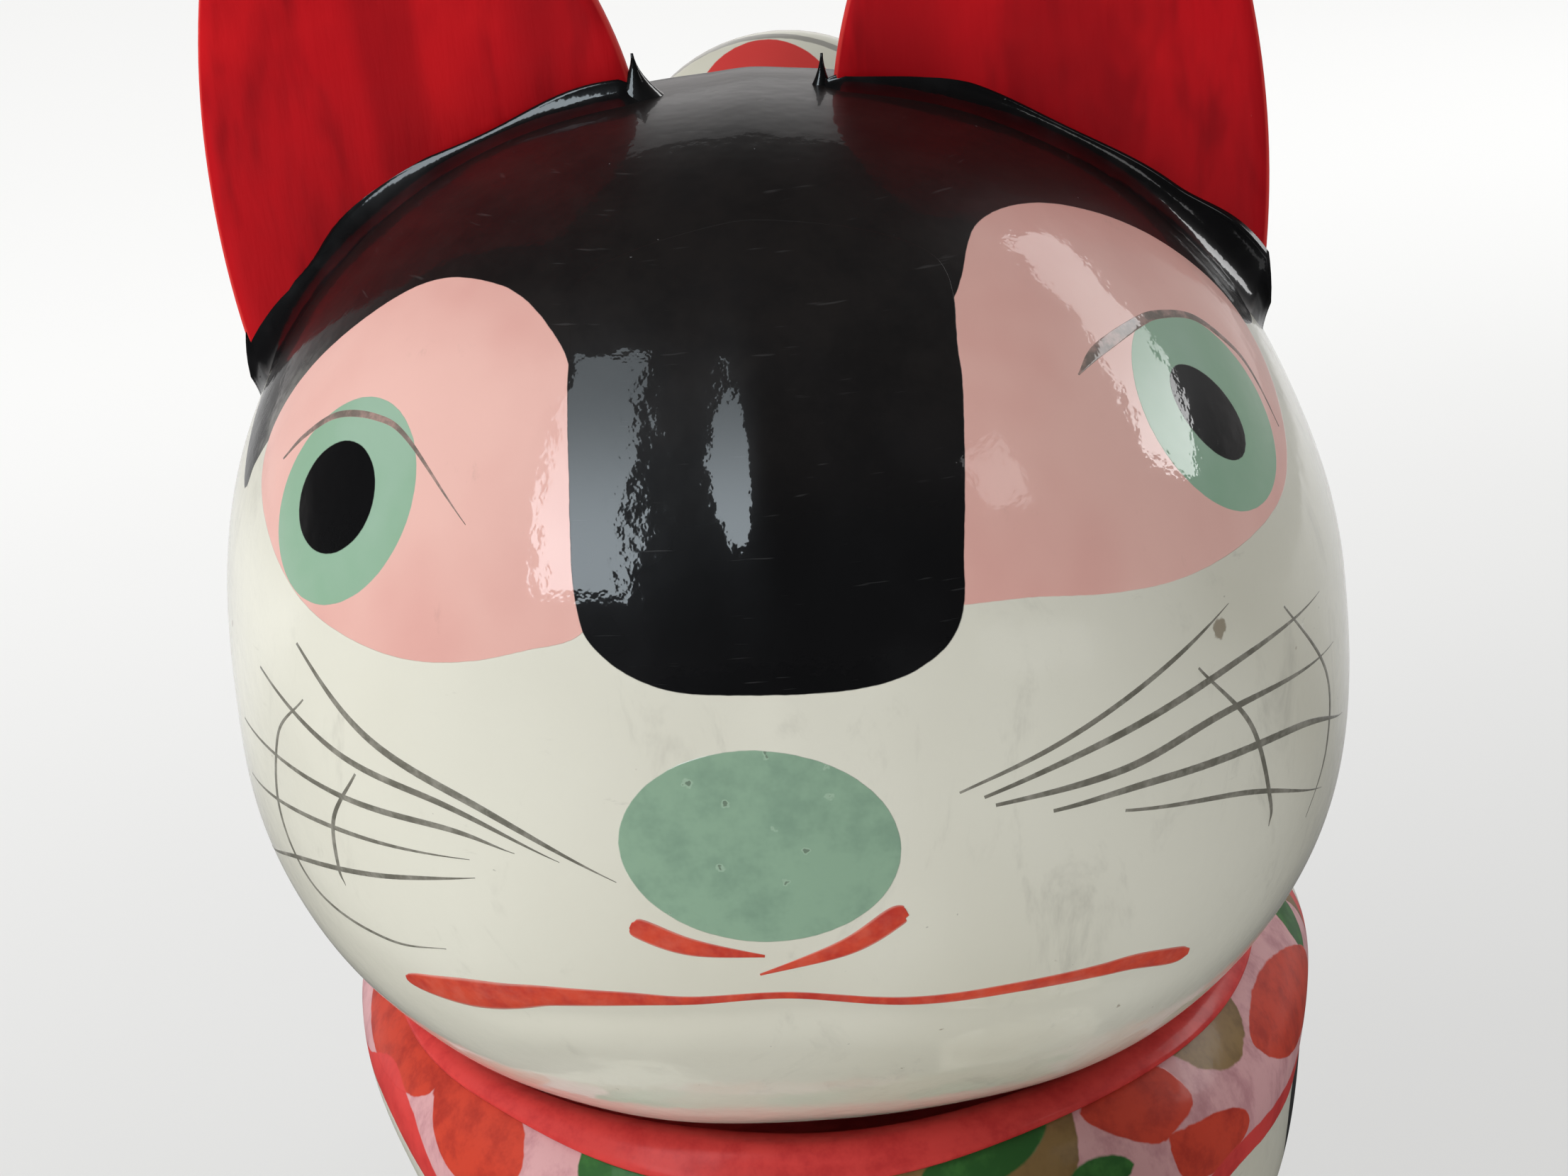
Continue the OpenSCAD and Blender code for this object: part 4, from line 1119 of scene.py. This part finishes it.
# The first ring is laid on the body, and one before it closes the foot inside
dirs = unit(rings[0] - CORE)
root_ring = CORE + dirs * (body_reach(dirs) + 0.15)[:, None]
centre_dir = unit(root_ring.mean(0) - CORE)
deep = CORE + centre_dir * (body_reach(centre_dir[None])[0] - 0.8)
rings = np.array([deep + (root_ring - deep) * 0.35, root_ring] + rings[1:])
rings[1:-1] += unit(rings[1:-1] - rings[1:-1].mean(1, keepdims=True)) * leg_waves(rings[1:-1])[..., None]
skin = tube_mesh(rings)
p = skin[0]
toes = toe_lines([p[:, 0] - PAW_X - tx for tx in PAW_TOE_X], PAW_LINE * smooth((p[:, 2] - 40.5) / 5),
                 np.maximum(41 - p[:, 2], p[:, 1] + 61))
add_piece("beckoning_foreleg_skin", skin, "root", [leg_paint], ("beckoning_foreleg",),
          toes)

# ---- tail
TAIL_Y, TAIL_LOW, TAIL_TOP = 50.0, 61.0, 109.5
TAIL_WIDEST = 0.56
# Half widths across and along at the foot, and how much they grow to the widest place
TAIL_U, TAIL_V, GROW_U, GROW_V = 12, 7.5, 6.5, 2
TAIL_SWING = 8
tail_waves = Waves([15, 21, 29], 0.13)
tail_a = np.radians(np.arange(0, 360, 3))
foot_x, foot_y = TAIL_U * np.cos(tail_a), TAIL_Y + TAIL_V * np.sin(tail_a)
base = np.column_stack([foot_x, foot_y, skin_height(foot_x, foot_y, 80) - 0.2])
middle = base.mean(0)
sunk = middle + (base - middle) * 0.3
sunk[:, 2] = base[:, 2].min() - 1.0
rings = [sunk, base]
round_off = np.linspace(0, np.pi / 2, 22)[1:]
for s in np.concatenate([np.linspace(0.02, TAIL_WIDEST, 26),
                         TAIL_WIDEST + (1 - TAIL_WIDEST) * np.sin(round_off)]):
    near_tip = max(0.0, 1 - (max(0.0, s - TAIL_WIDEST) / (1 - TAIL_WIDEST)) ** 2) ** 0.5
    grow = smooth(s / TAIL_WIDEST)
    u = max(0.15, (TAIL_U + GROW_U * grow) * near_tip) * np.cos(tail_a)
    v = max(0.1, (TAIL_V + GROW_V * grow) * near_tip) * np.sin(tail_a)
    y = TAIL_Y + TAIL_SWING * math.sin(math.radians(100 * s))
    rings.append(level_ring(u, y + v, TAIL_LOW + (TAIL_TOP - TAIL_LOW) * s))
rings = np.array(rings)
out = unit(rings[2:] - rings[2:].mean(1, keepdims=True) + [0, 0, 1e-6])
rings[2:] += out * tail_waves(rings[2:])[..., None]
skin = tube_mesh(rings)
p = skin[0]
front_side = np.where(p[:, 1] < TAIL_Y + TAIL_SWING, 0.0, 4.0)
# The spot and the grey outline ring are placed as they are seen from in front and a little above
seen = np.stack([p[:, 0], 0.927 * p[:, 2] + 0.375 * (p[:, 1] - TAIL_Y - TAIL_SWING)], 1)
tail_fields = {
    "spot": near_signed(seen, [oval(-1.2, 91, 7.8, 9.5, 4)]) + front_side,
    # Painted shade: a grey ring along the tail's outline as seen from in front and above, for the darker
    # edge it shows there
    "rim_line": np.abs(near_signed(seen, [oval(-1.6, 87, 15.2, 13.9, 0)], 6.0)) - 0.3 + front_side,
    "patch": np.abs(p[:, 2] - 74 - 1.5 * np.sin(p[:, 0] / 5)) - 3.4,
}
# The grey of the outline ring is painted shade
tail_paint = limb_material("tail_lacquer", rim_line=(0.32, 0.31, 0.28), spot=RED, patch=BLACK_PAINT)
add_piece("tail_skin", skin, "root", [tail_paint], ("tail",), tail_fields)

# ---- bare parts that stay as the CAD has them
CANE = ((0.52, 0.36, 0.17), (0.34, 0.20, 0.08), 1.6)
bamboo = raw_material("bamboo", *CANE, (1, 1, 0.12), 0.6)
bamboo_across = raw_material("bamboo_across", *CANE, (0.12, 1, 1), 0.6)
wire = raw_material("wire", (0.55, 0.55, 0.55), (0.32, 0.30, 0.28), 0.8, (0.2, 0.2, 1), 0.35, 1.0, 0.01)
clay = raw_material("clay", (0.27, 0.16, 0.10), (0.17, 0.10, 0.06), 3.0, rough=0.95, depth=0.25)
card = raw_material("card", (0.42, 0.32, 0.20), (0.28, 0.20, 0.12), 2.2)
for material, nodes in (
        (bamboo, ("neck_post", "leg_pegs", "tail_peg", "hanger_block", "head_lugs")),
        (bamboo_across, ("head_crossbar",)), (wire, ("sway_pin", "nod_pin")), (clay, ("clay_ballast",)),
        (card, ("foot_soles",)), (band_red, ("neck_cap",)),
        (bare_paper, ("body_seam_strip", "head_seam_strip"))):
    for node in nodes:
        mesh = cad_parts[node].data
        mesh.materials.clear()
        mesh.materials.append(material)

# The split bamboo bar across the body stops short on the cat's right, where the chest is drawn in
BAR_MID = (-25.4, 34.0)
BAR_HALF = (4.0, 3.0)
BAR_CORNER = 0.8
# Places along the bar with the section's size there: rounded ends and two shallow knots
BAR_RINGS = [(-31.6, 0.86), (-31.2, 0.97), (-20, 1.0), (-14.6, 0.99), (-14, 0.94), (-13.4, 0.99), (0, 1.0),
             (16.4, 0.99), (17, 0.94), (17.6, 0.99), (33.6, 0.97), (34.0, 0.86)]
section = []
for quarter, (sy, sz) in enumerate(((1, 1), (-1, 1), (-1, -1), (1, -1))):
    a = np.radians(np.arange(5) * 22.5) + math.radians(90 * quarter)
    section += [(sy * (BAR_HALF[0] - BAR_CORNER) + BAR_CORNER * math.cos(t),
                 sz * (BAR_HALF[1] - BAR_CORNER) + BAR_CORNER * math.sin(t)) for t in a]
section = np.array(section)
rings = [np.column_stack([np.full(len(section), x), np.array(BAR_MID) + section * k]) for x, k in BAR_RINGS]
add_piece("post_crossbar_bar", tube_mesh(rings), "root", [bamboo_across], ("post_crossbar",))

# ---- floor, lights, sky
FLOOR_HALF = 2.0
FLOOR_GLOW, FLOOR_GLOW_SHARE = 1.0, 0.8
p = Paint("floor")
light_path = p.add("LightPath")
# In the lacquer's reflections it is dim in front of the cat and pale behind it
mirrored = p.mix((0.045, 0.045, 0.045), (0.85, 0.85, 0.85), p.ramp(p.axis("Y"), 20, 160))
seen = p.mix((0.92, 0.92, 0.91), mirrored, light_path.outputs["Is Glossy Ray"])
# Painted shade: the table is darker towards the near right, in its colour and in the glow the camera sees
away = p.total((p.axis("Y"), 1.0), (p.axis("X"), -0.35), (p.noise(150), 40))
shade = p.ramp(away, -60, 420, 0.72, 1.0)
card_white = p.surface(p.mix((0, 0, 0), seen, shade), 0.6, specular=0.2)
glow_color = p.mix((0, 0, 0), (1, 1, 0.99), shade)
glow = p.add("Emission", {"Color": glow_color, "Strength": FLOOR_GLOW})
share = p.math("MULTIPLY", light_path.outputs["Is Camera Ray"], FLOOR_GLOW_SHARE)
p.finish(p.add("MixShader", {0: share, 1: card_white, 2: glow}))
floor_mesh = bpy.data.meshes.new("floor")
corners = [(x * FLOOR_HALF, y * FLOOR_HALF, 0) for x, y in ((-1, -1), (1, -1), (1, 1), (-1, 1))]
floor_mesh.from_pydata(corners, [], [(0, 1, 2, 3)])
floor_mesh.materials.append(p.material)
floor = shown("floor", floor_mesh)


def ray(azimuth, elevation):
    """Unit direction: azimuth from -Y towards +X, and elevation, in degrees."""
    a = math.radians(azimuth)
    e = math.radians(elevation)
    return Vector((math.sin(a) * math.cos(e), -math.cos(a) * math.cos(e), math.sin(e)))


def area_light(name, azimuth, elevation, distance, width, height, radiance, hidden="",
               color=(1, 1, 1), turn=0):
    """A rectangular light that faces the head, turned in its own plane by some degrees. Its radiance
    is in watts per square metre and steradian. Hidden is the kind of light it doesn't give."""
    data = bpy.data.lights.new(name, "AREA")
    data.shape = "RECTANGLE"
    data.size = width
    data.size_y = height
    data.energy = radiance * math.pi * width * height
    data.color = color
    light = shown(name, data)
    aim = Vector(HEAD * MM)
    light.location = aim + ray(azimuth, elevation) * distance
    facing = (light.location - aim).to_track_quat("Z", "Y").to_matrix()
    light.rotation_euler = (facing @ Matrix.Rotation(math.radians(turn), 3, "Z")).to_euler()
    light.visible_diffuse = hidden != "diffuse"
    light.visible_glossy = hidden != "glossy"


# The windows are what the lacquer mirrors, and the room and the table give the soft light
area_light("window_left", -31.5, 39, 0.60, 0.15, 0.54, 8.0, "diffuse", (0.82, 0.93, 1.0), 12)
area_light("window_right", 108, 33, 0.80, 0.70, 0.22, 9.0, "diffuse", turn=37)
area_light("window_front_right", 45, 33, 0.70, 0.12, 0.16, 2.2, "diffuse")
area_light("window_back", 180, 27, 0.90, 0.60, 0.50, 0.6)
area_light("table_glare", 38, -2, 0.60, 0.22, 0.10, 0.7)
area_light("room_left", -80, 32, 0.60, 0.60, 0.50, 2.9, "glossy")
area_light("room_right", 150, 25, 0.60, 0.40, 0.40, 1.3, "glossy")
area_light("room_edge", 130, 12, 0.60, 0.30, 0.30, 2.0, "glossy")
area_light("table_fill", -12, -12, 0.30, 0.50, 0.05, 4.4, "glossy")

world = bpy.data.worlds.new("room")
bpy.context.scene.world = world
sky = Nodes(world)
# What the lacquer mirrors is the dark room in front and the pale backdrop behind
way = sky.add("SeparateXYZ", {0: sky.add("TexCoord").outputs["Generated"]})
low = sky.add("Math", {0: way.outputs["Y"], 1: way.outputs["Z"]}, operation="SUBTRACT")
behind = sky.add("MapRange", {"Value": low, "From Min": 0.1, "From Max": 0.9,
                                        "To Min": 0.03, "To Max": 0.9})
soft = sky.add("Background", {"Color": (1.0, 1.0, 1.0), "Strength": 0.47})
dim = sky.add("Background", {"Color": (1.0, 0.96, 0.95), "Strength": behind})
glossy = sky.add("LightPath").outputs["Is Glossy Ray"]
sky_mix = sky.add("MixShader", {0: glossy, 1: soft, 2: dim})
sky.add("OutputWorld", {"Surface": sky_mix})

# ---- camera
CAM_AZ, CAM_EL, CAM_ROLL = 2.5, 22.0, 4.8
CAM_DISTANCE = 0.230
LENS, SENSOR = 68.67, 36
AIM_SIDE, AIM_UP = -0.00024, 0.001085


def make_camera():
    """A close view of the head from a little above, rolled slightly as a hand-held picture is."""
    centre = Vector(HEAD * MM)
    look = ray(CAM_AZ, CAM_EL)
    right = (-look).cross(Vector((0, 0, 1))).normalized()
    top = right.cross(-look)
    roll = math.radians(CAM_ROLL)
    side = right * math.cos(roll) - top * math.sin(roll)
    rise = right * math.sin(roll) + top * math.cos(roll)
    eye = centre + look * CAM_DISTANCE
    forward = (centre + side * AIM_SIDE + rise * AIM_UP - eye).normalized()
    side = (side - forward * side.dot(forward)).normalized()
    data = bpy.data.cameras.new("camera")
    data.lens = LENS
    data.sensor_width = SENSOR
    data.clip_start = 0.01
    data.clip_end = 20
    camera = shown("camera", data)
    m = Matrix((side, side.cross(forward), -forward)).transposed().to_4x4()
    m.translation = eye
    camera.matrix_world = m
    bpy.context.scene.camera = camera


make_camera()
bpy.context.scene.view_settings.view_transform = "Standard"
